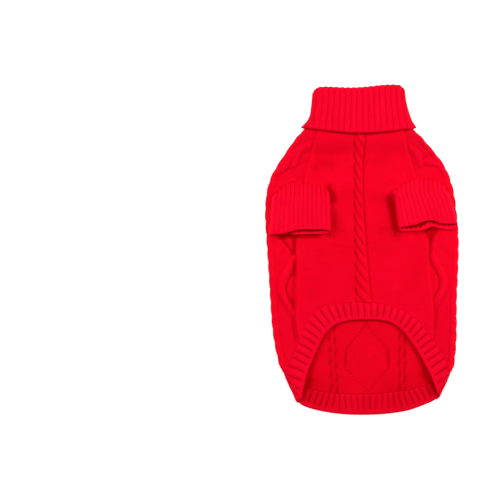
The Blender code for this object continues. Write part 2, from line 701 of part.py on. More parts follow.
def bridge(first, second, first_at, second_at):
    """Triangles between two lines of points that run side by side, whatever their counts."""
    faces = []
    i = j = 0
    while i < len(first) - 1 or j < len(second) - 1:
        first_moves = j == len(second) - 1 or (i < len(first) - 1 and first_at[i + 1] <= second_at[j + 1])
        if first_moves:
            faces.append((first[i], first[i + 1], second[j]))
            i += 1
        else:
            faces.append((first[i], second[j + 1], second[j]))
            j += 1
    return faces


def numbered(face, start):
    """The numbers of a face's points, with a ring's first column repeated at its end."""
    numbers = start + np.arange(face.points.shape[0] * face.points.shape[1]).reshape(face.points.shape[:2])
    return np.concatenate([numbers, numbers[:, :1]], axis=1) if face.period else numbers


def grid_faces(numbers):
    """Quads between neighbouring rows and columns of numbered points."""
    corners = np.stack([numbers[:-1, :-1], numbers[:-1, 1:], numbers[1:, 1:], numbers[1:, :-1]], axis=-1)
    return corners.reshape(-1, 4).tolist()


def add_wall(name, outer, inner, material, collection):
    """One closed wall between an outer and an inner face."""
    outer_numbers = numbered(outer, 0)
    inner_numbers = numbered(inner, outer.points[..., 0].size)
    outer_columns, inner_columns = (np.append(face.columns, face.period) for face in (outer, inner))
    points = np.concatenate([outer.points.reshape(-1, 3), inner.points.reshape(-1, 3)])
    faces = grid_faces(outer_numbers) + grid_faces(inner_numbers)
    for row in (0, -1):
        faces += bridge(outer_numbers[row], inner_numbers[row], outer_columns, inner_columns)
    if not outer.period:
        for column in (0, -1):
            faces += bridge(outer_numbers[:, column], inner_numbers[:, column], outer.rows, inner.rows)
    mesh = bpy.data.meshes.new(name)
    mesh.from_pydata(((points - MIDDLE) * MM).tolist(), [], faces)
    editable = bmesh.new()
    editable.from_mesh(mesh)
    bmesh.ops.recalc_face_normals(editable, faces=editable.faces)
    if editable.calc_volume(signed=True) < 0:
        bmesh.ops.reverse_faces(editable, faces=editable.faces)
    editable.to_mesh(mesh)
    editable.free()
    mesh.shade_smooth()
    mesh.materials.append(material)
    wall = bpy.data.objects.new(name, mesh)
    collection.objects.link(wall)
    return wall


def knit_material(name, colour):
    material = bpy.data.materials.new(name)
    material.use_nodes = True
    surface = material.node_tree.nodes["Principled BSDF"]
    surface.inputs["Base Color"].default_value = colour
    surface.inputs["Roughness"].default_value = 0.85
    surface.inputs["Metallic"].default_value = 0.0
    return material


def belly_shares(plain_steps, rope_steps):
    """Columns across the belly: close ones over the rope cable, wide ones beside it."""
    rope_left, rope_right = 0.44, 0.56
    left = np.linspace(0, rope_left, plain_steps, endpoint=False)
    middle = np.linspace(rope_left, rope_right, rope_steps, endpoint=False)
    right = np.linspace(rope_right, 1, plain_steps + 1)
    return np.concatenate([left, middle, right])


def build():
    for thing in list(bpy.data.objects):
        bpy.data.objects.remove(thing, do_unlink=True)
    sweater = bpy.data.collections.new("dog_sweater")
    bpy.context.scene.collection.children.link(sweater)
    plain = knit_material("red_cable_knit", RED)
    ribbed = knit_material("red_rib_knit", DEEP_RED)

    rows, inner_rows = body_rows()
    outer = back_face(rows, 8, 7, 16, inner=False)
    inner = back_face(inner_rows, 5, 5, 16, inner=True)
    add_wall("back_panel", outer, inner, plain, sweater)

    outer = belly_face(rows, belly_shares(10, 7), inner=False)
    inner = belly_face(inner_rows, belly_shares(10, 2), inner=True)
    add_wall("belly_panel", outer, inner, plain, sweater)

    outer = hem_face(np.linspace(0, 1, 4), 3, 6, 48, inner=False)
    inner = hem_face(np.linspace(0, 1, 3), 2, 5, 48, inner=True)
    add_wall("hem_band", outer, inner, ribbed, sweater)

    outer = collar_face(ring_places(COLLAR_RIBS * 3, 6, 10), (2, 4, 7), inner=False)
    inner = collar_face(ring_places(COLLAR_RIBS, 6, 10), (2, 2, 7), inner=True)
    add_wall("collar", outer, inner, ribbed, sweater)

    for name, sleeve in SLEEVES.items():
        outer = sleeve_face(sleeve, sleeve_places(sleeve["ribs"] * 3, 10), 5, 4, inner=False)
        inner = sleeve_face(sleeve, sleeve_places(16, 8), 4, 3, inner=True)
        add_wall(name, outer, inner, ribbed, sweater)


build()
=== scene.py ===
"""Looks for a small turtleneck dog sweater in cable knit that lies on its back on a pale table.

X runs across the chest, +Y towards the collar and +Z up. Sizes are in millimetres until a mesh is
made, and MIDDLE is the point of the sweater that the model has as its origin. The six knitted
pieces are sheets of cloth that lie flat, so each is made in mesh code as one closed wall: rows and
columns of stitches on the sewn form, an outer and an inner face, and rounded edges.
"""

import logging
import math
from dataclasses import dataclass
from enum import Enum

import bpy
import numpy as np
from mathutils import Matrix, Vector
from mathutils.kdtree import KDTree


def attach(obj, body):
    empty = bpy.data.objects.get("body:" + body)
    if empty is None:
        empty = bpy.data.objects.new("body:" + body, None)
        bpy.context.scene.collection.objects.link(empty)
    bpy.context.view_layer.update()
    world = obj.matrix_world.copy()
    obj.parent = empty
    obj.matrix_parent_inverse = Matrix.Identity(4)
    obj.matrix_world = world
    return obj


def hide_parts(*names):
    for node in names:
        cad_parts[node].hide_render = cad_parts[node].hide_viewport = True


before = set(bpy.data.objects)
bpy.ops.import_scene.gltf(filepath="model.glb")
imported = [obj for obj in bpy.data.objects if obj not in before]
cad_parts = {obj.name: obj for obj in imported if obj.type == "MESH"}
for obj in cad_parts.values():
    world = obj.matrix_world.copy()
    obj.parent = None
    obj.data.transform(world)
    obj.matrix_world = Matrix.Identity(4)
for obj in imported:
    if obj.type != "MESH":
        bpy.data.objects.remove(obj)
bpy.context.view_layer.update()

Array = np.ndarray
Number = Array | float
Node = bpy.types.Node
Socket = bpy.types.NodeSocket

MM = 0.001
MIDDLE = np.array([0.28, -0.42, 0.0])
BODY = "root"
MATH = "ShaderNodeMath"

# One stitch of the yarn: a wale is a column of stitches and a course is a row of them.
WALE = 2.2
COURSE = 1.7
# The lowest that a mesh may reach above the table.
LOWEST = 0.03

log = logging.getLogger("dog_sweater")


class Side(Enum):
    """The sweater's two sides, by the sign of X."""

    LEFT = -1
    RIGHT = 1

    @property
    def end(self) -> int:
        """0 on the left and 1 on the right."""
        return (self.value + 1) // 2


class Stitch(Enum):
    """The two kinds of cloth, by the name of their slot in the record."""

    CABLE = "cable_knit"
    RIB = "rib_knit"


# ---------- sizes and curves


def smooth(knots: Array, values: Array, at: Number) -> Array:
    """Values on a smooth curve through knots, held level past both ends.

    Args:
        knots: rising places along the curve.
        values: the curve's value at each knot.
        at: where the curve is read.

    Returns:
        The curve's value at each place.
    """
    at = np.clip(at, knots[0], knots[-1])
    slopes = np.gradient(values, knots)
    i = np.clip(np.searchsorted(knots, at) - 1, 0, len(knots) - 2)
    span = knots[i + 1] - knots[i]
    t = (at - knots[i]) / span
    start = values[i] * (1 + 2 * t) * (1 - t) ** 2 + slopes[i] * span * t * (1 - t) ** 2
    end = values[i + 1] * t**2 * (3 - 2 * t) + slopes[i + 1] * span * t**2 * (t - 1)
    return start + end


def ease(value: Number, low: Number, high: Number) -> Array:
    """0 below low, 1 above high and a soft step between."""
    t = np.clip((value - low) / (high - low), 0, 1)
    return t * t * (3 - 2 * t)


def mix(first: Number, second: Number, share: Number) -> Array:
    """The value a share of the way from first to second."""
    return first + (second - first) * share


def bell(distance: Number, width: Number) -> Array:
    """1 at no distance and a soft fall to nothing over about twice the width."""
    return np.exp(-((distance / width) ** 2))


def ribs(phase: Array, sharpness: float) -> Array:
    """0 in a narrow valley at each whole number and 1 on the broad ridges between."""
    return np.abs(np.sin(np.pi * phase)) ** sharpness


def together(*parts: Number) -> Array:
    """Numbers side by side, as a new last axis."""
    return np.stack(np.broadcast_arrays(*parts), axis=-1)


def line_distance(x: Array, y: Array, line: tuple[Array, Array]) -> Array:
    """Distance from points to the nearest stretch of a bent line.

    Args:
        x: the points' places across.
        y: the points' places along.
        line: x and y of the line's bends.

    Returns:
        One distance for each point.
    """
    nearest = np.full(np.shape(x), 1e9)
    bends = list(zip(*line))
    for (from_x, from_y), (to_x, to_y) in zip(bends, bends[1:]):
        run_x, run_y = to_x - from_x, to_y - from_y
        share = ((x - from_x) * run_x + (y - from_y) * run_y) / (run_x**2 + run_y**2)
        share = np.clip(share, 0, 1)
        away = np.hypot(x - from_x - share * run_x, y - from_y - share * run_y)
        nearest = np.minimum(nearest, away)
    return nearest


class Table:
    """Sizes by named columns, the first of them the knots of the others' curves."""

    def __init__(self, text: str) -> None:
        """Reads a table.

        Args:
            text: the columns' names and then the rows, each on a line or up to a semicolon.
        """
        names, *rows = (row.split() for row in text.strip().replace(";", "\n").split("\n"))
        self.columns = dict(zip(names, np.array(rows, float).T))
        self.knots = self.columns[names[0]]

    def __getitem__(self, name: str) -> Array:
        """One column."""
        return self.columns[name]

    def at(self, name: str, place: Number) -> Array:
        """A column's value on the smooth curve through its rows."""
        return smooth(self.knots, self[name], place)


# ---------- knitted relief


@dataclass(frozen=True)
class Rope:
    """A rope cable: two strands that wind round each other between two gutters."""

    pitch: float
    height: float
    twist: float = 9.6
    gutter: float = 0.8
    gutter_width: float = 1.2
    pit: float = 0.6

    def knit(self, across: Array, along: Array, half_width: Number) -> tuple[Array, Array]:
        """The rope's relief and its painted shade.

        Args:
            across: distance from the rope's middle line, with the strands slanting down to +.
            along: distance along the rope.
            half_width: half the rope's width there.

        Returns:
            The height, below zero in the gutters, and the painted shade: 0 on the strands to -1
            between them.
        """
        share = np.clip(across / half_width, -1, 1)
        phase = (along + self.twist * np.arcsin(share)) / self.pitch
        wave = np.abs(np.sin(np.pi * phase))
        crown, left = np.sqrt(1 - share**2), ease(-share, 0, 1)
        body = self.height * crown * (0.08 + 0.92 * wave**0.5)
        beside = np.abs(across) - half_width - 0.3 * self.gutter_width
        beside = bell(beside, self.gutter_width)
        gutter = self.gutter * mix(0.7, 0.3 + 1.4 * (1 - wave) ** 1.5, left)
        pit = self.pit * bell(across + 0.72 * half_width, 0.34 * half_width) * (1 - wave) ** 2
        # Painted shade between the strands and in the gutters, deepest in the scallops on the
        # left.
        between = (1 - wave) ** 1.3
        scallops = mix(0.65, 0.2 + 0.9 * between, left)
        tone = between * crown * (1 - ease(share, 0.1, 0.8)) + beside * scallops
        return body - gutter * beside - pit, -np.clip(tone, 0, 1)


@dataclass(frozen=True)
class Strand:
    """One raised strand of stitches between two shallow gutters."""

    half_width: float = 4.2
    height: float = 1.8
    gutter: float = 0.35

    def relief(self, distance: Array) -> Array:
        """How far the strand stands up at a distance from its middle line."""
        crown = np.cos(np.pi / 2 * np.clip(distance / self.half_width, 0, 1)) ** 0.9
        return self.height * crown - self.gutter * bell(distance - self.half_width - 0.8, 1.3)


@dataclass(frozen=True)
class Diamonds:
    """A column of diamonds: two strands that cross and bow out between the crossings."""

    middle_x: float
    crossing_y: float
    length: float = 87.7
    half_width: float = 22.3

    def distance(self, x: Array, y: Array) -> Array:
        """Distance to the nearer strand.

        Args:
            x: places across.
            y: places along.

        Returns:
            One distance for each point.
        """
        turn = np.pi * (y - self.crossing_y) / self.length
        sway = self.half_width * np.arcsin(0.93 * np.sin(turn)) / math.asin(0.93)
        lean = math.cos(math.atan(2 * self.half_width / self.length))
        across = x - self.middle_x
        return np.minimum(np.abs(across - sway), np.abs(across + sway)) * lean


@dataclass(frozen=True)
class Crease:
    """A soft trough along a bent line, or with a depth below zero a soft ridge."""

    width: float
    depth: float
    line: tuple[Array, Array]


def read_creases(text: str) -> tuple[Crease, ...]:
    """Creases, each from a line of text: its width, its depth and its bends' x and y."""
    rows = (np.array(line.split(), float) for line in text.strip().split("\n"))
    return tuple(Crease(row[0], row[1], (row[2::2], row[3::2])) for row in rows)


def creased(lines: tuple[Crease, ...], x: Array, y: Array) -> Array:
    """How far several creases lift the cloth.

    Args:
        lines: the creases.
        x: places across.
        y: places along.

    Returns:
        The lift at each point.
    """
    total = np.zeros(np.shape(x))
    for crease in lines:
        total = total - crease.depth * bell(line_distance(x, y, crease.line), crease.width / 2)
    return total


# ---------- the sewn form


@dataclass(eq=False)
class Band:
    """One side of the hem band, by rows for each bend: its sewn edge and its free edge."""

    rows: Table

    def __post_init__(self) -> None:
        """Measures the band along its middle."""
        runs = (np.diff(self.rows[f"sewn_{way}"] + self.rows[f"free_{way}"]) / 2 for way in "xy")
        self.knots = np.concatenate([[0], np.cumsum(np.hypot(*runs))])
        self.length = float(self.knots[-1])

    def share_at(self, row: int) -> float:
        """The share of the band's length that a row of the table is at."""
        return float(self.knots[row] / self.length)

    def point(self, share: Number, width: Number) -> tuple[Array, Array]:
        """A point of the band.

        Args:
            share: how far along the band, from 0 to 1.
            width: 0 at the sewn edge and 1 at the free edge.

        Returns:
            Its x and its y.
        """
        at = np.asarray(share) * self.length
        names = ("sewn_x", "sewn_y", "free_x", "free_y")
        ends = [smooth(self.knots, self.rows[name], at) for name in names]
        return mix(ends[0], ends[2], width), mix(ends[1], ends[3], width)

    def beside(self, share: Number, gap: float) -> tuple[Array, Array]:
        """A point off the sewn edge, on the line of the rib there.

        Args:
            share: how far along the band.
            gap: how far outside the edge, below zero where the cloths overlap.

        Returns:
            Its x and its y.
        """
        edge, free = self.point(share, 0), self.point(share, 1)
        out = gap / np.hypot(edge[0] - free[0], edge[1] - free[1])
        return edge[0] + out * (edge[0] - free[0]), edge[1] + out * (edge[1] - free[1])


@dataclass(frozen=True)
class SleeveForm:
    """A folded sleeve: its armhole, its mouth, and by how far across, their edges and lips."""

    armhole_x: tuple[float, float]
    mouth_x: tuple[float, float]
    seam_across: float
    edges: Table
    # By how far across the mouth: lip, how many millimetres of the lower layer's lip stay light
    # before the hollow's painted shade; shut, how dark the lower layer is painted where the mouth
    # lies shut in shadow; cast, how strong the painted shadow below the mouth is.
    mouth: Table
    tuck: float = 0.5

    def across(self, x: Array) -> Array:
        """How far across the mouth each x is, from 0 to 1."""
        left, right = self.mouth_x
        return np.clip((x - left) / (right - left), 0, 1)

    def covers(self, x: Array, y: Array) -> Array:
        """Where the sleeve lies on the body.

        Args:
            x: places across.
            y: places along.

        Returns:
            1 under the sleeve, 0 outside it and a soft step between.
        """
        left, right = self.mouth_x
        low, top = (self.edges.at(edge, self.across(x)) for edge in ("lower_lip", "top"))
        over = ease(x, left - 3.5, left - 0.5) * (1 - ease(x, right + 0.5, right + 4))
        return over * ease(y, low - 3, low) * (1 - ease(y, top + 0.5, top + 3))

    def casts(self, x: Array, y: Array) -> Array:
        """Where the sleeve's mouth casts its shade.

        Args:
            x: places across.
            y: places along.

        Returns:
            1 right below the mouth, falling to 0 within a few millimetres.
        """
        left, right = self.mouth_x
        across = self.across(x)
        below = self.edges.at("lower_lip", across) - y
        cast = self.mouth.at("cast", across) * (1 - ease(below, 2.6, 5.6)) * (below > -6)
        return cast * ease(x, left, left + 2) * (1 - ease(x, right - 1, right + 1))

    def rim(self, half: Side, y: Array, otherwise: Array) -> Array:
        """x of the armhole's rim on one side of the seam.

        Args:
            half: which half of the armhole, as seen from the seam.
            y: heights along the body.
            otherwise: x at heights where there is no armhole.

        Returns:
            The rim's x at each height.
        """
        across = mix(self.seam_across, half.end, np.sin(np.linspace(0, np.pi / 2, 40)))
        x = mix(*self.armhole_x, across)
        top, low = self.edges.at("top", across), self.edges.at("low", across)[::-1]
        rim_x = np.concatenate([x, x[::-1]])
        falling = (np.minimum.accumulate(top - self.tuck), np.minimum.accumulate(low + self.tuck))
        rim_y = np.concatenate(falling)
        inside = (y < rim_y[0]) & (y > rim_y[-1])
        return np.where(inside, np.interp(y, rim_y[::-1], rim_x[::-1]), otherwise)


LEFT_SLEEVE = SleeveForm(
    armhole_x=(-94.6, -34.5),
    mouth_x=(-99.4, -32.6),
    seam_across=0.52,
    edges=Table(
        """across top low upper_lip lower_lip
        0.00  57.0  57.0  15.9  15.6
        0.08  63.0  54.6  16.4  15.4
        0.22  69.8  53.4  17.0  15.4
        0.33  70.9  52.8  18.8  15.8
        0.42  71.3  52.6  20.6  16.0
        0.52  71.5  52.4  21.4  16.3
        0.70  70.2  52.8  21.6  16.4
        0.86  66.6  54.0  21.4  16.6
        0.95  64.4  56.2  20.8  17.4
        1.00  60.2  60.2  19.4  18.8"""
    ),
    # The mouth's painted shade and painted shadow, by how far across.
    mouth=Table(
        """across lip shut cast
        0.00  2.0  0.0   0.0
        0.10  2.0  0.3   0.2
        0.17  2.0  1.0   1.0
        0.33  2.0  1.0   1.0
        0.40  2.0  0.3   1.1
        0.78  2.2  0.25  1.1
        0.84  2.6  0.25  0.4
        1.00  3.4  0.15  0.35"""
    ),
)
RIGHT_SLEEVE = SleeveForm(
    armhole_x=(32.8, 90.2),
    mouth_x=(39.6, 103.2),
    seam_across=0.445,
    edges=Table(
        """across top low upper_lip lower_lip
        0.00   60.4  60.4  22.8  20.6
        0.06   64.6  57.6  23.9  19.8
        0.15   68.2  56.0  25.0  19.6
        0.34   73.6  54.8  28.0  20.2
        0.445  75.4  54.4  30.4  21.4
        0.56   75.3  54.6  31.0  24.4
        0.70   75.0  55.0  28.2  22.6
        0.86   74.0  56.2  27.5  21.4
        0.95   69.6  58.4  27.8  21.8
        1.00   62.2  62.2  27.0  24.4"""
    ),
    # The mouth's painted shade and painted shadow, by how far across.
    mouth=Table(
        """across lip shut cast
        0.00  3.4  0.1   0.4
        0.08  2.6  0.15  0.35
        0.30  3.0  0.2   0.35
        0.38  3.2  0.2   0.5
        0.45  4.4  0.1   1.0
        0.52  7.0  0.1   1.0
        0.60  5.2  0.1   0.7
        0.70  4.6  0.1   0.3
        1.00  4.0  0.05  0.2"""
    ),
)


@dataclass
class SweaterForm:
    """The sewn sweater, laid flat: outline, seams, layers and the two sides of the hem band."""

    outline: Table = Table(
        """y left right left_seam right_seam
        -165   -66.0   79.0  -62.0  79.5
        -147   -76.5   87.5  -62.0  79.5
        -131   -84.0   95.4  -62.5  79.5
        -112   -89.3   98.8  -65.0  79.5
        -98    -92.2  100.1  -68.2  79.2
        -80    -94.6  100.8  -71.0  78.8
        -54    -96.4  101.0  -70.6  77.0
        -22    -98.4  102.3  -69.6  73.4
        10    -100.4  102.9  -70.0  71.8
        43    -101.9  100.4  -66.8  66.0
        64     -99.8   97.3  -63.7  61.6
        80     -94.8   92.4  -60.6  58.0
        96     -85.3   83.8  -56.6  53.2
        107    -77.9   74.8  -54.0  50.4
        118    -70.2   65.4  -50.6  47.2
        128    -62.3   56.4  -47.4  44.6
        134    -57.4   51.4  -45.6  43.2"""
    )
    arch: Band = Band(
        Table(
            """sewn_x sewn_y free_x free_y
            -80.5  -128.7  -64.6  -159.6
            -77.6  -121.5  -61.6  -146.0
            -73.8  -112.5  -57.2  -131.0
            -68.0   -98.6  -50.2  -114.0
            -61.2   -82.6  -42.6   -97.4
            -50.8   -67.0  -34.5   -86.0
            -37.5   -59.2  -25.8   -79.8
            -19.5   -56.4  -14.5   -76.6
            2.0     -55.6    3.5   -75.2
            25.5    -58.4   21.5   -76.0
            43.0    -63.6   34.0   -79.4
            56.5    -72.0   43.4   -86.6
            68.0    -84.0   51.8   -97.0
            79.0    -98.6   61.2  -111.0
            86.4   -109.4   68.4  -124.0
            91.2   -118.5   75.4  -138.0
            92.3   -129.0   81.0  -153.2"""
        )
    )
    back_hem: Band = Band(
        Table(
            """sewn_x sewn_y free_x free_y
            92.3   -129.0   79.8  -160.2
            86.0   -136.0   75.4  -162.9
            77.5   -141.8   67.6  -166.2
            57.0   -148.8   50.8  -172.1
            33.0   -152.8   29.4  -175.6
            3.0    -154.6    3.5  -177.0
            -27.0  -153.8  -24.6  -175.8
            -46.0  -151.4  -43.0  -173.0
            -62.0  -146.0  -56.2  -169.6
            -72.5  -139.4  -63.2  -166.8
            -80.5  -128.7  -67.2  -163.8"""
        )
    )
    sleeves: tuple[SleeveForm, SleeveForm] = (LEFT_SLEEVE, RIGHT_SLEEVE)
    # Where the collar's lip lies across the body, which the painted shadow under it follows.
    collar_lip: Table = Table("x y; -66 129.8; -42 127.4; -5 124.4; 28 126.0; 60 129.6")
    # Rows of the arch where the seams between back and belly meet it.
    seam_rows: tuple[int, int] = (3, 13)
    fold_outs: tuple[tuple[float, float], tuple[float, float]] = ((-0.89, -0.456), (0.912, -0.41))
    cloth: float = 2.0
    under_cloth: float = 1.6
    under_floor: float = 0.85
    laid_gap: float = 0.8
    fold_radius: float = 4.5
    puff_rise: float = 2.2
    puff_reach: tuple[float, float] = (10.0, 42.0)
    neck_y: float = 134.0
    neck_rise: float = 2.9
    neck_rise_y: tuple[float, float] = (98.0, 122.0)
    neck_open: float = 2.5
    neck_open_y: tuple[float, float] = (100.0, 131.0)
    neck_fade_y: tuple[float, float] = (120.0, 126.0)
    armholes_y: tuple[float, float] = (77.0, 51.0)
    armhole_step: float = 0.62
    waist_y: float = 20.0
    settle_y: float = -60.0
    lowest_y: float = -131.0
    hem_overlap: float = 1.3
    seam_overlap: float = 0.3
    # Where the painted shade in the opening's lower corners is darkest, and how far it reaches.
    arch_corners: tuple[tuple[float, float], ...] = ((-57.0, -141.0), (70.0, -133.0))
    corner_reach: float = 6.5

    def fold(self, side: Side, y: Array) -> Array:
        """x of the side fold's outermost line."""
        return self.outline.at(side.name.lower(), y)

    def fold_middle(self, side: Side, y: Array) -> Array:
        """x of the line that the side fold turns round."""
        return self.fold(side, y) - side.value * self.fold_radius

    def seam(self, side: Side, y: Array) -> Array:
        """x of the seam between back and belly."""
        return self.outline.at(f"{side.name.lower()}_seam", y)

    def neck_lift(self, y: Array) -> Array:
        """How far the body's lower layer is off the surface."""
        return self.neck_rise * ease(y, *self.neck_rise_y)

    def lower(self, inner: bool) -> float:
        """Height of the lower layer's outer or inner face, below the neck."""
        return self.under_floor + (self.under_cloth if inner else 0.0)

    def upper(self, x: Array, y: Array, inner: bool) -> Array:
        """Height of the upper layer's face.

        Args:
            x: places across.
            y: places along.
            inner: whether it is the inner face, which is the hollow's ceiling.

        Returns:
            The height at each point.
        """
        from_fold = np.minimum(x - self.fold(Side.LEFT, y), self.fold(Side.RIGHT, y) - x)
        near_neck = ease(y, *self.neck_open_y)
        puff = self.puff_rise * (1 - ease(from_fold, *self.puff_reach)) * (1 - near_neck)
        gap = self.laid_gap + puff + self.neck_open * near_neck
        return self.neck_lift(y) + self.cloth + gap + (0.0 if inner else self.cloth)

    def rim(self, side: Side, half: Side, y: Array) -> Array:
        """x of the sewn edge on a side, with that half of the armhole's rim on it."""
        rim = self.sleeves[side.end].rim(half, y, self.seam(side, y))
        return rim - half.value * self.seam_overlap

    def rows(self, step: float) -> Array:
        """Heights of a panel's rows of points from the neck down, closer past the armholes.

        Args:
            step: the distance between the other rows.

        Returns:
            The heights, falling.
        """
        top, low = self.armholes_y
        parts = (self.neck_y, top, step), (top, low, self.armhole_step), (low, self.lowest_y, step)
        rows = [np.linspace(a, b, round((a - b) / gap), endpoint=False) for a, b, gap in parts]
        return np.concatenate([*rows, [self.lowest_y]])

    def reach(self, rows: Array, end_y: Array) -> Array:
        """The rows, with those below the waist stretched to end on the band.

        Args:
            rows: heights of the rows.
            end_y: where each column ends.

        Returns:
            The heights, by rows and columns.
        """
        stretch = (self.waist_y - end_y) / (self.waist_y - self.lowest_y)
        below = self.waist_y + (rows[:, None] - self.waist_y) * stretch
        return np.where(rows[:, None] > self.waist_y, rows[:, None], below)

    def settle(self, x: Array, rows: Array, end_x: Array) -> Array:
        """x moved over the lowest rows, so that each column ends at end_x on the band."""
        return x + (end_x - x[-1]) * ease(-rows, -self.settle_y, -self.lowest_y)[:, None]

    def sleeve_cover(self, x: Array, y: Array) -> Array:
        """1 where either sleeve lies on the body."""
        return np.maximum(*(sleeve.covers(x, y) for sleeve in self.sleeves))

    def painted_shadow_under_lips(self, x: Array, y: Array) -> Array:
        """Painted shadow below the sleeves' mouths: 1 right below one, falling to 0 within a few
        millimetres.
        """
        return sum(sleeve.casts(x, y) for sleeve in self.sleeves)

    def painted_shadow_under_collar(self, x: Array, y: Array) -> Array:
        """Painted shadow below the collar's lip: 1 right below it, falling to 0 within a few
        millimetres.
        """
        below, depth = self.collar_lip.at("y", x) - y, 0.8 + 0.9 * bell(x, 32)
        return (0.45 + 0.45 * bell(x, 32)) * (1 - ease(below, depth, depth + 2.0))

    def arch_shade(self, x: Array, y: Array) -> Array:
        """Shade close inside the opening's upper edge, most of all in its lower corners.

        Args:
            x: places across.
            y: places along.

        Returns:
            1 in the shade and 0 out of it.
        """
        rows = self.arch.rows
        width = 2.6 + 1.6 * ease(-y, 105, 145)
        strength = (0.35 + 0.65 * ease(-y, 80, 120)) * (1 - 0.9 * ease(-y, 146, 157))
        shade = strength * bell(line_distance(x, y, (rows["free_x"], rows["free_y"])), width)
        for corner_x, corner_y in self.arch_corners:
            away = np.hypot(x - corner_x, y - corner_y)
            shade = shade + 0.8 * bell(away, self.corner_reach)
        return np.clip(shade, 0, 1)

    def neck_distance(self, y: Array) -> Array:
        """Fades relief out under the collar: 1 below it and 0 beneath it."""
        return 1 - ease(y, *self.neck_fade_y)


# ---------- cloth walls


def lengths_along(outer: Array, inner: Array) -> Array:
    """Distance along a ring of cloth at each of its rows, in the middle of its wall."""
    steps = np.linalg.norm(np.diff((outer + inner) / 2, axis=0), axis=-1).mean(axis=1)
    return np.concatenate([[0], np.cumsum(steps)])[:, None]


@dataclass
class Cloth:
    """A knitted sheet by rows and columns of points, before it is made a mesh.

    outer and inner are its two plain faces. relief raises the outer face and dent hollows the
    inner one. shade and inner_shade are the painted shade and painted light of the two faces, from
    -1 in a dark valley or shadow to 1 on a lit crest. stitches are counted in wales and courses,
    and a ring of cloth has one more column of them.
    """

    outer: Array
    inner: Array
    relief: Array
    dent: Array
    shade: Array
    inner_shade: Array
    stitches: Array
    ring: bool = False
    edge_share: float = 1.3

    def edge_distances(self) -> Array:
        """How far the points are from the cut edges.

        Returns:
            The distance from each point to the nearest cut edge.
        """
        middle = (self.outer + self.inner) / 2
        lines = [middle[0], middle[-1]]
        if self.ring:
            lines = [np.concatenate([line, line[:1]]) for line in lines]
        else:
            lines += [middle[:, 0], middle[:, -1]]
        shares = np.linspace(0, 1, 6, endpoint=False)[:, None, None]
        edge = [mix(line[:-1], line[1:], shares).reshape(-1, 3) for line in lines]
        edge = np.concatenate(edge)
        tree = KDTree(len(edge))
        for i, point in enumerate(edge):
            tree.insert(point, i)
        tree.balance()
        found = np.array([tree.find(point)[2] for point in middle.reshape(-1, 3)])
        return found.reshape(middle.shape[:2])

    def on_edge(self) -> Array:
        """Finds the points on a cut edge.

        Returns:
            True for each of those points.
        """
        edge = np.zeros(self.outer.shape[:2], bool)
        edge[[0, -1]] = True
        if not self.ring:
            edge[:, [0, -1]] = True
        return edge

    def faces_of_wall(self) -> tuple[Array, Array]:
        """The two finished faces, which meet in a rounded edge all round.

        Returns:
            The outer face's points and the inner face's points.
        """
        middle, half = (self.outer + self.inner) / 2, (self.outer - self.inner) / 2
        thickness = np.linalg.norm(half, axis=-1, keepdims=True)
        way = half / np.maximum(thickness, 1e-6)
        distance = np.where(self.on_edge(), 0.0, self.edge_distances())[..., None]
        inset = np.clip(distance / (self.edge_share * np.maximum(thickness, 0.3)), 0, 1)
        rounding = np.sqrt(1 - (1 - inset) ** 2)
        faces = []
        for half_way, lift in ((half, self.relief), (-half, self.dent)):
            face = middle + half_way * rounding + way * (lift[..., None] * rounding)
            face[..., 2] = np.maximum(face[..., 2], LOWEST)
            faces.append(face)
        return faces[0], faces[1]

    def mesh(self, name: str) -> bpy.types.Mesh:
        """The closed wall as a mesh, with its stitch map and shades.

        Args:
            name: the mesh's name.

        Returns:
            The mesh, in metres, with faces that look outwards.
        """
        outer, inner = self.faces_of_wall()
        rows, columns = outer.shape[:2]
        edge = self.on_edge()
        outer_numbers = np.arange(rows * columns).reshape(rows, columns)
        inner_numbers = outer_numbers.copy()
        inner_numbers[~edge] = rows * columns + np.arange((~edge).sum())
        points = np.concatenate([outer.reshape(-1, 3), inner[~edge]])
        shade = np.concatenate([self.shade.ravel(), self.inner_shade[~edge]])
        purl = np.concatenate([np.where(edge, 0.5, 0.0).ravel(), np.ones((~edge).sum())])

        def corners(grid: Array, wrapped: Array) -> Array:
            """The corners of each face of a grid.

            Args:
                grid: a value for each point.
                wrapped: the column that follows the last one, used on a ring only.

            Returns:
                Four values for each face.
            """
            grid = np.concatenate([grid, wrapped], axis=1) if self.ring else grid
            around = (grid[:-1, :-1], grid[:-1, 1:], grid[1:, 1:], grid[1:, :-1])
            return np.stack(around, axis=2).reshape(-1, 4, *grid.shape[2:])

        outer_faces = corners(outer_numbers, outer_numbers[:, :1])[:, ::-1]
        inner_faces = corners(inner_numbers, inner_numbers[:, :1])
        stitches = self.stitches[:, :-1] if self.ring else self.stitches
        loops = corners(stitches, self.stitches[:, -1:])
        faces = np.concatenate([outer_faces, inner_faces])
        stitch_map = np.concatenate([loops[:, ::-1], loops])
        a, b, c, d = (points[faces[:, i]] for i in range(4))
        if np.einsum("ij,ij->", a, np.cross(b, c) + np.cross(c, d)) < 0:
            faces, stitch_map = faces[:, ::-1], stitch_map[:, ::-1]
        mesh = bpy.data.meshes.new(name)
        mesh.from_pydata(((points - MIDDLE) * MM).tolist(), [], faces.tolist())
        uv = mesh.uv_layers.new(name="stitches")
        uv.data.foreach_set("uv", np.ascontiguousarray(stitch_map, np.float32).ravel())
        # The relief attribute carries the painted shade and painted light, which the material
        # turns into colour.
        for attribute, values in (("relief", shade), ("purl", purl)):
            layer = mesh.attributes.new(attribute, "FLOAT", "POINT")
            layer.data.foreach_set("value", np.ascontiguousarray(values, np.float32))
        mesh.shade_smooth()
        mesh.validate()
        return mesh


# ---------- finishes


def linear(colour: str) -> tuple[float, ...]:
    """A colour given in sRGB hex, as the linear one with an alpha of 1 that shaders take."""
    shares = (int(colour[i : i + 2], 16) / 255 for i in (1, 3, 5))
    return *(s / 12.92 if s <= 0.04045 else ((s + 0.055) / 1.055) ** 2.4 for s in shares), 1.0


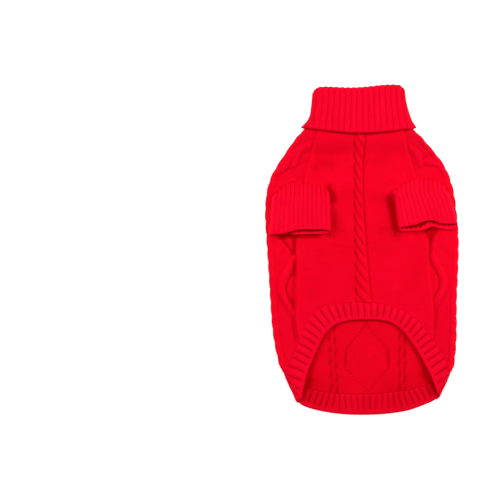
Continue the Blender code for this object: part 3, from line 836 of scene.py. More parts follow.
def add_node(
    tree: bpy.types.NodeTree, kind: str, inputs: dict | None = None, **settings: object
) -> Node:
    """Adds one node.

    Args:
        tree: the node tree that it goes into.
        kind: the node's type.
        inputs: by input name or number, a value, a socket or a node whose first output it takes.
        settings: the node's own settings.

    Returns:
        The new node.
    """
    node = tree.nodes.new(kind)
    for name, value in settings.items():
        setattr(node, name, value)
    for key, value in (inputs or {}).items():
        value = value.outputs[0] if isinstance(value, Node) else value
        if isinstance(value, Socket):
            tree.links.new(value, node.inputs[key])
        else:
            node.inputs[key].default_value = value
    return node


@dataclass(frozen=True)
class KnitFinish:
    """Wool-blend yarn, dyed red and knitted: soft and matt, with a short nap on every stitch."""

    name: str
    slot: Stitch
    # The three colours: the painted shade red of the valleys, the yarn's own red and the painted
    # highlight red of the crests.
    painted_shade_red: str
    base: str
    crest: str
    stitch_height: float = 0.55
    bump: float = 0.75
    roughness: float = 0.85
    sheen: float = 0.05

    def material(self) -> bpy.types.Material:
        """Makes the knitted material.

        Returns:
            A node material that reads the stitch map and the painted shade and light that the
            cloth carries in its relief attribute.
        """
        material = bpy.data.materials.new(self.name)
        material.use_nodes = True
        tree = material.node_tree
        tree.nodes.clear()
        stitch = add_node(tree, "ShaderNodeUVMap", uv_map="stitches")
        wales, courses, _ = add_node(tree, "ShaderNodeSeparateXYZ", {0: stitch}).outputs
        faces = {
            "Factor": add_node(tree, "ShaderNodeAttribute", attribute_name="purl").outputs["Fac"],
            "A": self.knit_height(tree, wales, courses),
            "B": self.purl_height(tree, wales, courses),
        }
        height = add_node(tree, "ShaderNodeMix", faces, data_type="FLOAT")
        # Nap: loose fibres that blur the stitches, about half a millimetre apart.
        place = add_node(tree, "ShaderNodeTexCoord").outputs["Object"]
        fibres = {"Vector": place, "Scale": 1 / (1.1 * MM), "Detail": 3.0, "Roughness": 0.65}
        nap = add_node(tree, "ShaderNodeTexNoise", fibres)
        # Dye and wear: slow patches of slightly lighter and deeper red, a few centimetres wide.
        wear = {"Vector": place, "Scale": 1 / (28 * MM), "Detail": 2.0}
        patches = add_node(tree, "ShaderNodeTexNoise", wear)
        # Painted shade and painted light: the relief attribute moves the colour from the painted
        # shade red through the yarn's own red to the painted highlight red.
        relief = add_node(tree, "ShaderNodeAttribute", attribute_name="relief").outputs["Fac"]
        tone = add_node(tree, MATH, {0: relief, 1: 0.5, 2: 0.5}, operation="MULTIPLY_ADD")
        # Painted shade in the stitches' grooves, and random tone from the nap and the patches.
        for source, share in ((height, 0.22), (nap, 0.18), (patches, 0.14)):
            about_zero = {0: source, 1: share, 2: -share / 2}
            lighter = add_node(tree, MATH, about_zero, operation="MULTIPLY_ADD")
            tone = add_node(tree, MATH, {0: tone, 1: lighter}, operation="ADD")
        ramp = add_node(tree, "ShaderNodeValToRGB", {0: tone})
        stops = ramp.color_ramp.elements
        stops[0].position, stops[0].color = 0.0, linear(self.painted_shade_red)
        stops[1].position, stops[1].color = 1.0, linear(self.crest)
        stops.new(0.5).color = linear(self.base)
        rough = add_node(tree, MATH, {0: nap, 1: 0.35, 2: height}, operation="MULTIPLY_ADD")
        lift = {"Strength": self.bump, "Distance": self.stitch_height * MM, "Height": rough}
        yarn = {
            "Base Color": ramp,
            "Roughness": self.roughness,
            "Metallic": 0.0,
            "IOR": 1.5,
            "Specular IOR Level": 0.08,
            "Specular Tint": linear("#FF5A66"),
            "Sheen Weight": self.sheen,
            "Sheen Roughness": 0.45,
            "Sheen Tint": linear("#FF2A40"),
            "Normal": add_node(tree, "ShaderNodeBump", lift),
        }
        surface = add_node(tree, "ShaderNodeBsdfPrincipled", yarn)
        add_node(tree, "ShaderNodeOutputMaterial", {"Surface": surface})
        return material

    def knit_height(self, tree: bpy.types.NodeTree, wales: Socket, courses: Socket) -> Node:
        """Stocking stitch: a V of two plump legs in every stitch.

        Args:
            tree: the material's node tree.
            wales: wales counted across.
            courses: courses counted along.

        Returns:
            The node of the height, from 0 between the stitches to 1 on a leg.
        """
        aside = wales
        for operation, by in (("FRACT", 0), ("SUBTRACT", 0.5), ("ABSOLUTE", 0), ("MULTIPLY", 2)):
            aside = add_node(tree, MATH, {0: aside, 1: by}, operation=operation)
        row = add_node(tree, MATH, {0: aside, 1: -0.7, 2: courses}, operation="MULTIPLY_ADD")
        row = add_node(tree, MATH, {0: row}, operation="FRACT")
        waves = []
        for wave, power in ((row, 0.7), (aside, 0.6)):
            for operation, by in (("MULTIPLY", math.pi), ("SINE", 0), ("POWER", power)):
                wave = add_node(tree, MATH, {0: wave, 1: by}, operation=operation)
            waves.append(wave)
        return add_node(tree, MATH, dict(enumerate(waves)), operation="MULTIPLY")

    def purl_height(self, tree: bpy.types.NodeTree, wales: Socket, courses: Socket) -> Node:
        """Purl stitch: short bars across, each row a half wale from the last.

        Args:
            tree: the material's node tree.
            wales: wales counted across.
            courses: courses counted along.

        Returns:
            The node of the height, from 0 between the bars to 1 on a bar.
        """
        waves = []
        for source, turn in ((wales, 2 * math.pi), (courses, math.pi)):
            angle = add_node(tree, MATH, {0: source, 1: turn}, operation="MULTIPLY")
            waves.append(add_node(tree, MATH, {0: angle}, operation="SINE"))
        bars = add_node(tree, MATH, dict(enumerate(waves)), operation="MULTIPLY")
        return add_node(tree, MATH, {0: bars, 1: 0.5, 2: 0.5}, operation="MULTIPLY_ADD")


# Each: its name and slot, then the painted shade red, the yarn's own red and the painted highlight
# red.
CABLE_KNIT = KnitFinish("red_cable_knit_wool", Stitch.CABLE, "#B80006", "#F30223", "#FC062E")
RIB_KNIT = KnitFinish("red_rib_knit_wool", Stitch.RIB, "#B00004", "#F6042A", "#FF0C38")


# ---------- pieces


@dataclass
class Piece:
    """A knitted piece: what it replaces, its finish, and the flat size that it was knitted to."""

    form: SweaterForm
    node: str = ""
    finish: KnitFinish = RIB_KNIT
    flat: tuple[float, float] = (0.0, 0.0)
    area: float = 0.0
    rests_on: tuple[str, ...] = ("table_top",)

    def cloth(self) -> Cloth:
        """The piece as rows and columns of points."""
        raise NotImplementedError

    def build(self, material: bpy.types.Material) -> bpy.types.Object:
        """Args:
            material: the knitted material that it is given.

        Returns:
            The finished object.
        """
        name = f"{self.node}_knit"
        mesh = self.cloth().mesh(name)
        mesh.materials.append(material)
        piece = bpy.data.objects.new(name, mesh)
        bpy.context.scene.collection.objects.link(piece)
        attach(piece, BODY)
        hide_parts(self.node)
        log.info("%s: %d faces", name, len(mesh.polygons))
        return piece


@dataclass
class BackPanel(Piece):
    """The back: it lies on the surface and wraps round both sides to the two seams."""

    node: str = "back_panel"
    finish: KnitFinish = CABLE_KNIT
    flat: tuple[float, float] = (0.275, 0.29)
    area: float = 0.070
    side_rope: Rope = Rope(14.3, 1.5, gutter=0.35)
    back_rope: Rope = Rope(14.1, 0.8, gutter=0.5)
    rope_half_width: float = 7.4
    back_rope_across: float = 37.4
    strand: Strand = Strand()
    back_strand: Strand = Strand(3.8, 0.8, 0.4)
    side_diamonds: tuple[Diamonds, Diamonds] = (Diamonds(-63.7, 2.9), Diamonds(66.6, 8.0))
    back_diamonds: Diamonds = Diamonds(0.0, 10.0, half_width=21.6)
    shoulder_strands: tuple[Table, ...] = (
        Table("x y; -50 113; -62 108.5; -68.5 103.5; -71 96; -73 90"),
        Table("x y; -71 106; -76.5 98.5; -82.5 89.5; -95 78.5"),
        Table("x y; 46 112; 56 105.5; 61.5 99.5; 63 92"),
        Table("x y; 93 81; 84 91; 76 94.5; 69 94.5"),
    )
    # Each line: width, depth, and x and y of the bends. A trough's depth also sets its painted
    # shade.
    creases: tuple[Crease, ...] = read_creases(
        """2.8 1.6  -87 15  -83 9  -72.5 -5
        4.0 -0.5  -91 12  -77 -5
        9.0 0.4  -86 10  -83 -2
        4.4 1.8  -72 15  -72.2 -3
        3.6 1.8  -72.2 -12  -72.4 -26
        2.8 0.8  -72.4 -26  -73.6 -55
        2.8 1.6  -73.6 -54  -73.4 -63
        3.0 1.2  -73.8 -73  -73.2 -84  -70 -99
        2.2 0.8  -75 -27  -80.4 -37  -80.5 -46  -75.6 -57
        2.0 0.7  -88 -50  -83 -59  -75 -70
        5.0 2.2  70.5 21  79 20.4
        5.0 1.8  77 18  73 8
        4.2 1.6  72.6 20  73.4 -2
        3.2 1.2  73 -1  73.8 -13
        2.2 0.8  75.2 -15  83 -30  84 -40  78 -50
        2.6 0.6  80.2 -58  80.4 -84
        2.2 0.75  -58 95  -65 92  -70.3 89.2  -78 86.3  -87 80.5  -94 78
        2.0 0.8  -74.2 99  -76.6 89.5
        2.2 0.8  -61.5 107  -65.4 101  -67 95
        3.0 1.2  -46 126  -49 119  -51.5 112.5
        2.0 0.75  75 100  69 99.6  65 96.2  63 92.3  68 89.8  78 88.4
        2.4 0.8  45 122  45.6 114
        6.0 0.3  84 4  97 -8"""
    )
    under_creases: tuple[Crease, ...] = read_creases(
        """11 0.35  -70 60  -48 40
        12 0.35  62 74  80 48
        12 0.3  -20 -30  -58 -52
        12 0.3  30 -98  62 -80
        9 0.3  -30 110  -52 92
        9 0.3  22 116  44 100"""
    )
    column: Table = Table("y x; -151 6.8; -80 4.9; 10 2.0; 134 0.4")
    lowest_diamond: Table = Table("x y; 0 -80.5; 22.6 -107.5; 23.2 -126; 0 -152.5")
    inner_rope: Table = Table("y left right; -150 -28.6 44.0; -110 -30.7 43.5; -70 -32.6 44.4")
    # Each: across from the inner rope, the y of one dash, and how short the dashes are.
    inner_gutters: tuple[tuple[float, float, float], ...] = (
        (-2.8, -107.2, 0.1),
        (2.8, -111.0, -0.3),
    )
    inner_pitch: float = 13.4
    inner_course: float = 3.1
    upright_y: float = -117.0
    upright_reach: float = 9.5
    between_ropes_x: float = 5.0
    diamonds_top: float = 74.0
    rope_turn: float = 0.2
    deepest: float = 1.25
    step: float = 1.45
    wrap_steps: int = 25
    fold_steps: int = 15
    under_steps: int = 136

    def wrap(self, side: Side, shares: Array, rows: Array, inner: bool) -> Array:
        """The stretch on the belly side.

        Args:
            side: the side of the sweater.
            shares: columns from the seam (0) to the side fold (1).
            rows: heights of the rows.
            inner: whether it is the inner face.

        Returns:
            The points.
        """
        form = self.form
        along = mix(form.arch.share_at(form.seam_rows[side.end]), side.end, shares)
        end_x, end_y = form.arch.beside(along, -form.hem_overlap)
        y = form.reach(rows, end_y)
        x = mix(form.rim(side, side, y), form.fold_middle(side, y), shares)
        x = form.settle(x, rows, end_x)
        return together(x, y, form.upper(x, y, inner))

    def turn(self, side: Side, angles: Array, rows: Array, inner: bool) -> Array:
        """The stretch round a side fold.

        Args:
            side: the side of the sweater.
            angles: columns by angle, from 90 degrees on top to -90 underneath.
            rows: heights of the rows.
            inner: whether it is the inner face.

        Returns:
            The points.
        """
        form = self.form
        reach = (form.fold_radius - (form.cloth if inner else 0.0)) * np.cos(angles)
        out_x, out_y = form.fold_outs[side.end]
        end_x, end_y = form.arch.beside(side.end, -form.hem_overlap)
        y = form.reach(rows, end_y + out_y * reach)
        middle_x = form.fold_middle(side, y)
        x = form.settle(middle_x + side.value * reach, rows, end_x + out_x * reach)
        bottom = form.neck_lift(y) + form.lower(inner)
        top = form.upper(middle_x, y, inner)
        return together(x, y, mix(bottom, top, (1 + np.sin(angles)) / 2))

    def under(self, shares: Array, rows: Array, inner: bool) -> Array:
        """The layer that lies on the surface.

        Args:
            shares: columns from the left fold (0) to the right one (1).
            rows: heights of the rows.
            inner: whether it is the inner face.

        Returns:
            The points.
        """
        form = self.form
        end_x, end_y = form.back_hem.beside(1 - shares, -form.hem_overlap)
        y = form.reach(rows, end_y)
        x = mix(form.fold_middle(Side.LEFT, y), form.fold_middle(Side.RIGHT, y), shares)
        return together(form.settle(x, rows, end_x), y, form.neck_lift(y) + form.lower(inner))

    def cloth(self) -> Cloth:
        """Knits the back panel from its left seam, round underneath, to its right seam.

        Returns:
            Rows from the neck down, and columns from seam to seam.
        """
        rows = self.form.rows(self.step)
        wraps = np.linspace(0, 1, self.wrap_steps, endpoint=False)
        angles = np.pi / 2 - np.pi * np.linspace(0, 1, self.fold_steps)
        unders = np.linspace(0, 1, self.under_steps + 1)[1:-1]
        faces = []
        for inner in (False, True):
            stretches = (
                self.wrap(Side.LEFT, wraps, rows, inner),
                self.turn(Side.LEFT, angles, rows, inner),
                self.under(unders, rows, inner),
                self.turn(Side.RIGHT, angles[::-1], rows, inner),
                self.wrap(Side.RIGHT, wraps[::-1], rows, inner),
            )
            faces.append(np.concatenate(stretches, axis=1))
        outer, inner = faces
        # 1 on the belly side, -1 underneath and the sine of the angle round a fold.
        half = np.concatenate([np.ones(len(wraps)), np.sin(angles)])
        facing = np.concatenate([half, -np.ones(len(unders)), half[::-1]])[None, :]
        x, y = outer[..., 0], outer[..., 1]
        above_hem = ease(y - y[-1:], 0.5, 8.0)
        relief, shade = (above_hem * part for part in self.outer_relief(x, y, facing))
        dent, inner_shade = self.inner_dents(inner[..., 0], inner[..., 1], facing)
        steps = np.linalg.norm(np.diff((outer + inner) / 2, axis=1), axis=-1)
        around = np.concatenate([np.zeros((len(rows), 1)), np.cumsum(steps, axis=1)], axis=1)
        center = len(half) + len(unders) // 2
        stitches = together((around - around[:, center : center + 1]) / WALE, y / COURSE)
        return Cloth(outer, inner, relief, dent, shade, inner_shade, stitches)

    def outer_relief(self, x: Array, y: Array, facing: Array) -> tuple[Array, Array]:
        """Cables and creases on the outer face.

        Args:
            x: places across.
            y: places along.
            facing: 1 on the belly side to -1 underneath.

        Returns:
            The relief, and the painted shade and painted light that go with it.
        """
        form = self.form
        left, right = form.fold(Side.LEFT, y), form.fold(Side.RIGHT, y)
        from_fold = np.minimum(np.abs(x - left), np.abs(right - x))
        angle = np.arcsin(np.clip(facing, -1, 1)) + 0 * y
        flat = np.maximum(from_fold - form.fold_radius, 0) * (np.abs(facing) > 0.999)
        round_fold = form.fold_radius * (angle - self.rope_turn) + np.sign(facing) * flat
        below_neck = form.neck_distance(y)
        free = below_neck * (1 - form.sleeve_cover(x, y) * (facing > 0.2))
        on_top, below = ease(facing, 0.0, 0.6), ease(-facing, 0.2, 0.9)

        rope, tone = self.side_rope.knit(round_fold, y, self.rope_half_width)
        bump = rope * mix(1.0, 0.5, below) * free
        # Painted shade in the rope's valleys, stronger lower down, and along the folds where the
        # cloth turns under.
        shade = 0.7 * tone * free * (0.3 + 0.5 * ease(-y, 15, 32)) - 1.3 * bell(angle, 0.6)

        nearest = np.minimum(*(column.distance(x, y) for column in self.side_diamonds))
        nearest = np.where(y < self.diamonds_top, nearest, 1e9)
        for line in self.shoulder_strands:
            nearest = np.minimum(nearest, line_distance(x, y, (line["x"], line["y"])))
        from_seam = np.maximum(form.seam(Side.LEFT, y) - x, x - form.seam(Side.RIGHT, y))
        strands = self.strand.relief(nearest) * ease(from_seam, 0, 2)
        on_wrap = on_top * free * (1 - bell(round_fold, 7.5)) * (1 - ease(-y, 64, 78))
        trough = -1.0 * bell(from_seam, 3.2) * on_top
        dips = creased(self.creases, x, y) * on_top * free
        bump = np.maximum(bump + strands * on_wrap + trough + dips, -self.deepest)
        # Painted shade in the strands' gutters, the creases and the seam's trough, and painted
        # light on the strands.
        shade = shade + (np.minimum(strands, 0) + 0.2 * strands) * on_wrap
        shade = shade + 0.95 * np.minimum(dips, 0) + 0.12 * trough
        # Painted light on the whole wrap, more on the shoulders and the right flank, and painted
        # shadows below the sleeves' mouths and the collar's lip.
        lighter = 0.15 + 0.35 * ease(y, 76, 90) + 0.18 * ease(x, 40, 60)
        lighter = lighter - 2.0 * form.painted_shadow_under_lips(x, y) - 1.8 * form.painted_shadow_under_collar(x, y)
        shade = shade + lighter * on_top

        across = x - self.column.at("x", y)
        cables = self.back_strand.relief(self.back_diamonds.distance(across, y))
        for side in Side:
            turned = side.value * across - self.back_rope_across
            cables = cables + self.back_rope.knit(turned, y, self.rope_half_width)[0]
        cables = cables + creased(self.under_creases, x, y)
        bump = bump + cables * below * below_neck
        # Painted shade in the gutters of the cables and creases underneath.
        shade = shade + np.minimum(cables, 0) * below * below_neck
        # Painted shade and painted light that follow the relief's height.
        return bump, np.clip(shade * 0.5 + 0.12 * bump, -1, 1)

    def inner_dents(self, x: Array, y: Array, facing: Array) -> tuple[Array, Array]:
        """The wrong side of the cables, as rows of short dents on the inner face.

        Args:
            x: places across.
            y: places along.
            facing: 1 on the belly side to -1 underneath.

        Returns:
            The dents, and the painted shade of the inside.
        """
        below = ease(-facing, 0.6, 0.95)
        across = x - self.column.at("x", y)
        diamond = self.lowest_diamond["x"], self.lowest_diamond["y"]
        distance = line_distance(np.abs(across), y, diamond)
        higher = self.back_diamonds.distance(across, y)
        distance = np.where(y > diamond[1][0], higher, distance)
        fine = ease(np.sin(2 * np.pi * y / self.inner_course), -0.5, 0.4)
        fine = fine * (0.75 - 0.4 * ease(-y, 124, 142))
        upright = bell(y - self.upright_y, self.upright_reach) ** 2
        marks = bell(distance, 1.0) * mix(fine, 1.3, upright)
        ropes = (self.inner_rope.at(name, y) for name in ("left", "right"))
        rope_x = np.where(x < self.between_ropes_x, *ropes)
        for gutter, center, share in self.inner_gutters:
            turn = 2 * np.pi * (y - center) / self.inner_pitch
            column = np.abs(x - rope_x - gutter - 0.4 * np.sin(turn))
            dashes = 0.3 + 0.7 * ease(np.cos(turn), share - 0.25, share + 0.35)
            marks = np.maximum(marks, bell(column, 1.0) * dashes)
        marks = marks * below
        # Painted shade: darker in the dents, over the whole inside, towards the bottom and close
        # inside the opening's edge.
        arch = self.form.arch_shade(x, y) + 0.3 * ease(-y, 125, 150) * ease(np.abs(x), 8, 34)
        return 0.5 * marks, -0.95 * marks - (0.3 + 0.8 * arch) * below


@dataclass
class BellyPanel(Piece):
    """The belly, between its two seams, with one rope cable down its middle."""

    node: str = "belly_panel"
    finish: KnitFinish = CABLE_KNIT
    flat: tuple[float, float] = (0.145, 0.232)
    area: float = 0.028
    rests_on: tuple[str, ...] = ("back_panel_knit",)
    rope: Rope = Rope(13.13, 1.6, twist=8.0)
    rope_line: Table = Table(
        """y x half_width
        -60   3.0  8.3
        -45   2.2  7.8
        -31   1.4  6.9
        -9    0.4  6.0
        12   -0.8  5.5
        33   -1.7  4.9
        54   -2.5  4.4
        75   -2.7  4.3
        94   -2.6  4.4
        118  -1.8  5.3
        134  -1.6  5.4"""
    )
    # Each line: width, depth, and x and y of the bends. Each crease's depth also sets its painted
    # shade, or painted light below zero; those beside the sleeves stand for the sleeves' shadows.
    creases: tuple[Crease, ...] = read_creases(
        """7 2  -34.5 66  -32 60  -31.4 53
        3 0.6  -32 53  -31.6 40
        8 1.05  -31 37  -30.6 24
        6 0.8  -34 14  -30 14
        14 0.3  -25 36  -25 12
        6.5 1.8  31.4 55  32 49
        8 2  32.6 48  34.6 34  37 24
        6 0.9  37 22  36.4 16
        12 0.7  21 21  38 16
        12 0.2  26 50  27 28
        11 -0.35  -40 117  40 117
        11 0.35  -30 20  -21 19
        5 1.3  69 23  71 14
        12 0.7  -49 88  -44 93  -32 91
        12 0.5  -45 104  -31 104  -20 107
        10 0.4  12 55  24 54
        10 0.3  -26 57  -14 56
        10 0.35  7 94  26 94
        5.5 0.4  -30 4  -11 2
        9 0.25  -44 -3  -14 -4
        9 0.25  12 -1  30 0
        12 -0.45  -32 78  -12 74
        12 -0.4  28 80  42 74
        12 0.25  -60 -20  -52 -48
        14 0.25  62 -14  52 -44
        12 -0.25  20 -28  36 -40"""
    )
    rope_start: float = 3.4
    # Shares across from and to, and the columns between: closest together over the rope.
    stretches: tuple[tuple[float, float, int], ...] = (
        (0.0, 0.44, 52),
        (0.44, 0.56, 24),
        (0.56, 1.0, 52),
    )
    deepest: float = 1.25
    armhole_reach: float = 0.42
    step: float = 1.25

    def face(self, shares: Array, rows: Array, inner: bool) -> Array:
        """One face of the panel.

        Args:
            shares: columns from the left seam (0) to the right one (1).
            rows: heights of the rows.
            inner: whether it is the inner face.

        Returns:
            The points.
        """
        form = self.form
        seams = [form.arch.share_at(row) for row in form.seam_rows]
        end_x, end_y = form.arch.beside(mix(*seams, shares), -form.hem_overlap)
        y = form.reach(rows, end_y)
        x = mix(form.seam(Side.LEFT, y), form.seam(Side.RIGHT, y), shares)
        sewn = ((Side.LEFT, Side.RIGHT, shares), (Side.RIGHT, Side.LEFT, 1 - shares))
        for side, half, away in sewn:
            push = form.rim(side, half, y) - form.seam(side, y)
            x = x + push * np.maximum(1 - away / self.armhole_reach, 0)
        x = form.settle(x, rows, end_x)
        return together(x, y, form.upper(x, y, inner))

    def cloth(self) -> Cloth:
        """Knits the belly panel, from the neck down to the arch.

        Returns:
            Rows from the neck down, and columns from seam to seam, closest over the rope.
        """
        form, rows = self.form, self.form.rows(self.step)
        shares = [np.linspace(*stretch, endpoint=False) for stretch in self.stretches]
        shares = np.concatenate([*shares, [1]])
        outer, inner = (self.face(shares, rows, face) for face in (False, True))
        x, y = outer[..., 0], outer[..., 1]
        across, half_width = x - self.rope_line.at("x", y), self.rope_line.at("half_width", y)
        rope, tone = self.rope.knit(across, y + self.rope_start, half_width)
        rope, tone = rope * form.neck_distance(y), tone * form.neck_distance(y)
        from_seam = np.minimum(x - form.seam(Side.LEFT, y), form.seam(Side.RIGHT, y) - x)
        rolled = 0.5 * bell(from_seam - 3, 2.2)
        dips = creased(self.creases, x, y)
        bump = rope + (rolled + dips) * (1 - 0.7 * form.sleeve_cover(x, y))
        bump = np.maximum(bump, -self.deepest)
        # Painted shade in the rope's valleys and the creases, painted light on the rolled seam
        # edges, the rope and the ridges, and painted shadows below the sleeves' mouths and the
        # collar's lip.
        shade = 0.75 * tone + 0.5 * dips + 0.3 * rolled + 0.14 * rope
        shade = shade - form.painted_shadow_under_lips(x, y) - 0.9 * form.painted_shadow_under_collar(x, y)
        shade, plain = np.clip(shade, -1, 1), np.zeros(x.shape)
        stitches = together(x / WALE, y / COURSE)
        return Cloth(outer, inner, bump, plain, shade, plain, stitches)


@dataclass
class HemBand(Piece):
    """The ribbed band round the whole opening."""

    node: str = "hem_band"
    flat: tuple[float, float] = (0.425, 0.025)
    area: float = 0.0106
    pitch: float = 7.2
    back_pitch: float = 6.6
    fold_ribs: int = 2
    wales_a_rib: int = 3
    knit_width: float = 24.0
    height: float = 1.0
    fold_taper: float = 0.72
    width_steps: int = 22
    points_a_rib: int = 10
    fold_steps: int = 14
    # How far the ribs slide along the band from one edge to the other, as a share of its length.
    arch_slide: Table = Table(
        """share slide
        0      0.075
        0.04   0.054
        0.08   0.034
        0.14   0.021
        0.2    0.007
        0.26   0
        0.86   0
        0.91  -0.009
        0.955 -0.028
        1     -0.051"""
    )
    back_slide: Table = Table(
        """share slide
        0     0.1
        0.21  0.1
        0.34  0.035
        0.45  0
        0.63  0
        0.7  -0.036
        0.78 -0.06
        1    -0.065"""
    )

    def fold(self, side: Side, width: float, angles: Array, inner: bool) -> Array:
        """The band where it turns under at a side fold.

        Args:
            side: the side of the sweater.
            width: the share from the sewn edge to the free one.
            angles: from 90 degrees on the belly side to -90 underneath.
            inner: whether it is the inner face.

        Returns:
            The points.
        """
        form = self.form
        out_x, out_y = form.fold_outs[side.end]
        x, y = form.arch.point(side.end, width)
        under_x, under_y = form.back_hem.point(1 - side.end, width)
        turned = (1 - np.sin(angles)) / 2
        reach = form.fold_radius - (form.cloth if inner else 0.0)
        reach = reach * np.cos(angles) * mix(1, self.fold_taper, width)
        z = mix(form.upper(x, y, inner), form.lower(inner), turned)
        x = mix(x, under_x, turned) + out_x * reach
        return together(x, mix(y, under_y, turned) + out_y * reach, z)

    def cloth(self) -> Cloth:
        """Knits the band.

        Returns:
            Rows from its sewn edge to its free one, and columns all the way round.
        """
        form = self.form
        arch_ribs = round(form.arch.length / self.pitch)
        back_ribs = round(form.back_hem.length / self.back_pitch)
        arch = np.linspace(0, 1, arch_ribs * self.points_a_rib + 1)
        back = np.linspace(0, 1, back_ribs * self.points_a_rib + 1)
        turns = np.linspace(0, 1, self.fold_steps)[1:-1]
        angles = np.pi / 2 - np.pi * turns
        widths = np.linspace(0, 1, self.width_steps)
        faces = []
        for inner in (False, True):
            rings = []
            for width in widths:
                x, y = form.arch.point(arch, width)
                ring = (
                    together(x, y, form.upper(x, y, inner)),
                    self.fold(Side.RIGHT, width, angles, inner),
                    together(*form.back_hem.point(back, width), form.lower(inner)),
                    self.fold(Side.LEFT, width, angles[::-1], inner),
                )
                rings.append(np.concatenate(ring))
            faces.append(np.stack(rings))
        outer, inner = faces
        down = np.concatenate([np.zeros(len(arch)), turns, np.ones(len(back)), 1 - turns])
        widths = widths[:, None]
        total = arch_ribs + back_ribs + 2 * self.fold_ribs
        arch_count = arch_ribs * (arch + self.arch_slide.at("slide", arch) * (1 - widths))
        back_count = back_ribs * (back + self.back_slide.at("slide", back) * (widths - 0.5))
        back_count = back_count + arch_ribs + self.fold_ribs
        right = mix(arch_count[:, -1:], back_count[:, :1], turns)
        left = mix(back_count[:, -1:], total + arch_count[:, :1], turns)
        count = np.concatenate([arch_count, right, back_count, left], axis=1)
        run_on = np.concatenate([count, total + count[:, :1]], axis=1)
        stitches = together(run_on * self.wales_a_rib, -widths * self.knit_width / COURSE)

        crest, inner_crest = ribs(count, 0.65), ribs(count + 0.5, 0.65)
        plain = ease(widths, 0.0, 0.14) * (1 - ease(widths, 0.74, 0.94))
        bump = mix(1.0, crest, plain) * self.height * ease(widths, 0.0, 0.34)
        bump = bump - down * self.height + 0.15 * bell(1 - widths, 0.14) * (1 - down)
        # Painted shade: darker in the rib valleys and along the sewn edge. Inside: darker all over
        # and in the valleys, painted light round the fold, and painted shade close inside the
        # opening's edge.
        sewn = bell(widths, 0.1)
        shade = 0.08 - 1.05 * (1 - crest) ** 1.3 * plain - sewn * (0.25 + 0.65 * down)
        rimmed = ease(widths, 0.0, 0.1) * (1 - ease(widths, 0.64, 0.86))
        contrast = 0.6 + 0.4 * ease(np.abs(inner[..., 0]), 10, 60)
        inner_shade = -1.15 * contrast * (1 - inner_crest) ** 1.4 * rimmed - 0.34
        inner_shade = inner_shade + 0.9 * bell(down - 0.5, 0.22) + 0.16 * sewn
        arch_shade = form.arch_shade(inner[..., 0], inner[..., 1]) * (down > 0.5)
        inner_shade = np.clip(inner_shade - 0.75 * arch_shade, -1, 1)
        dent = 0.8 * rimmed * (1 - inner_crest)
        shade = np.clip(shade, -1, 1)
        return Cloth(outer, inner, bump, dent, shade, inner_shade, stitches, ring=True)


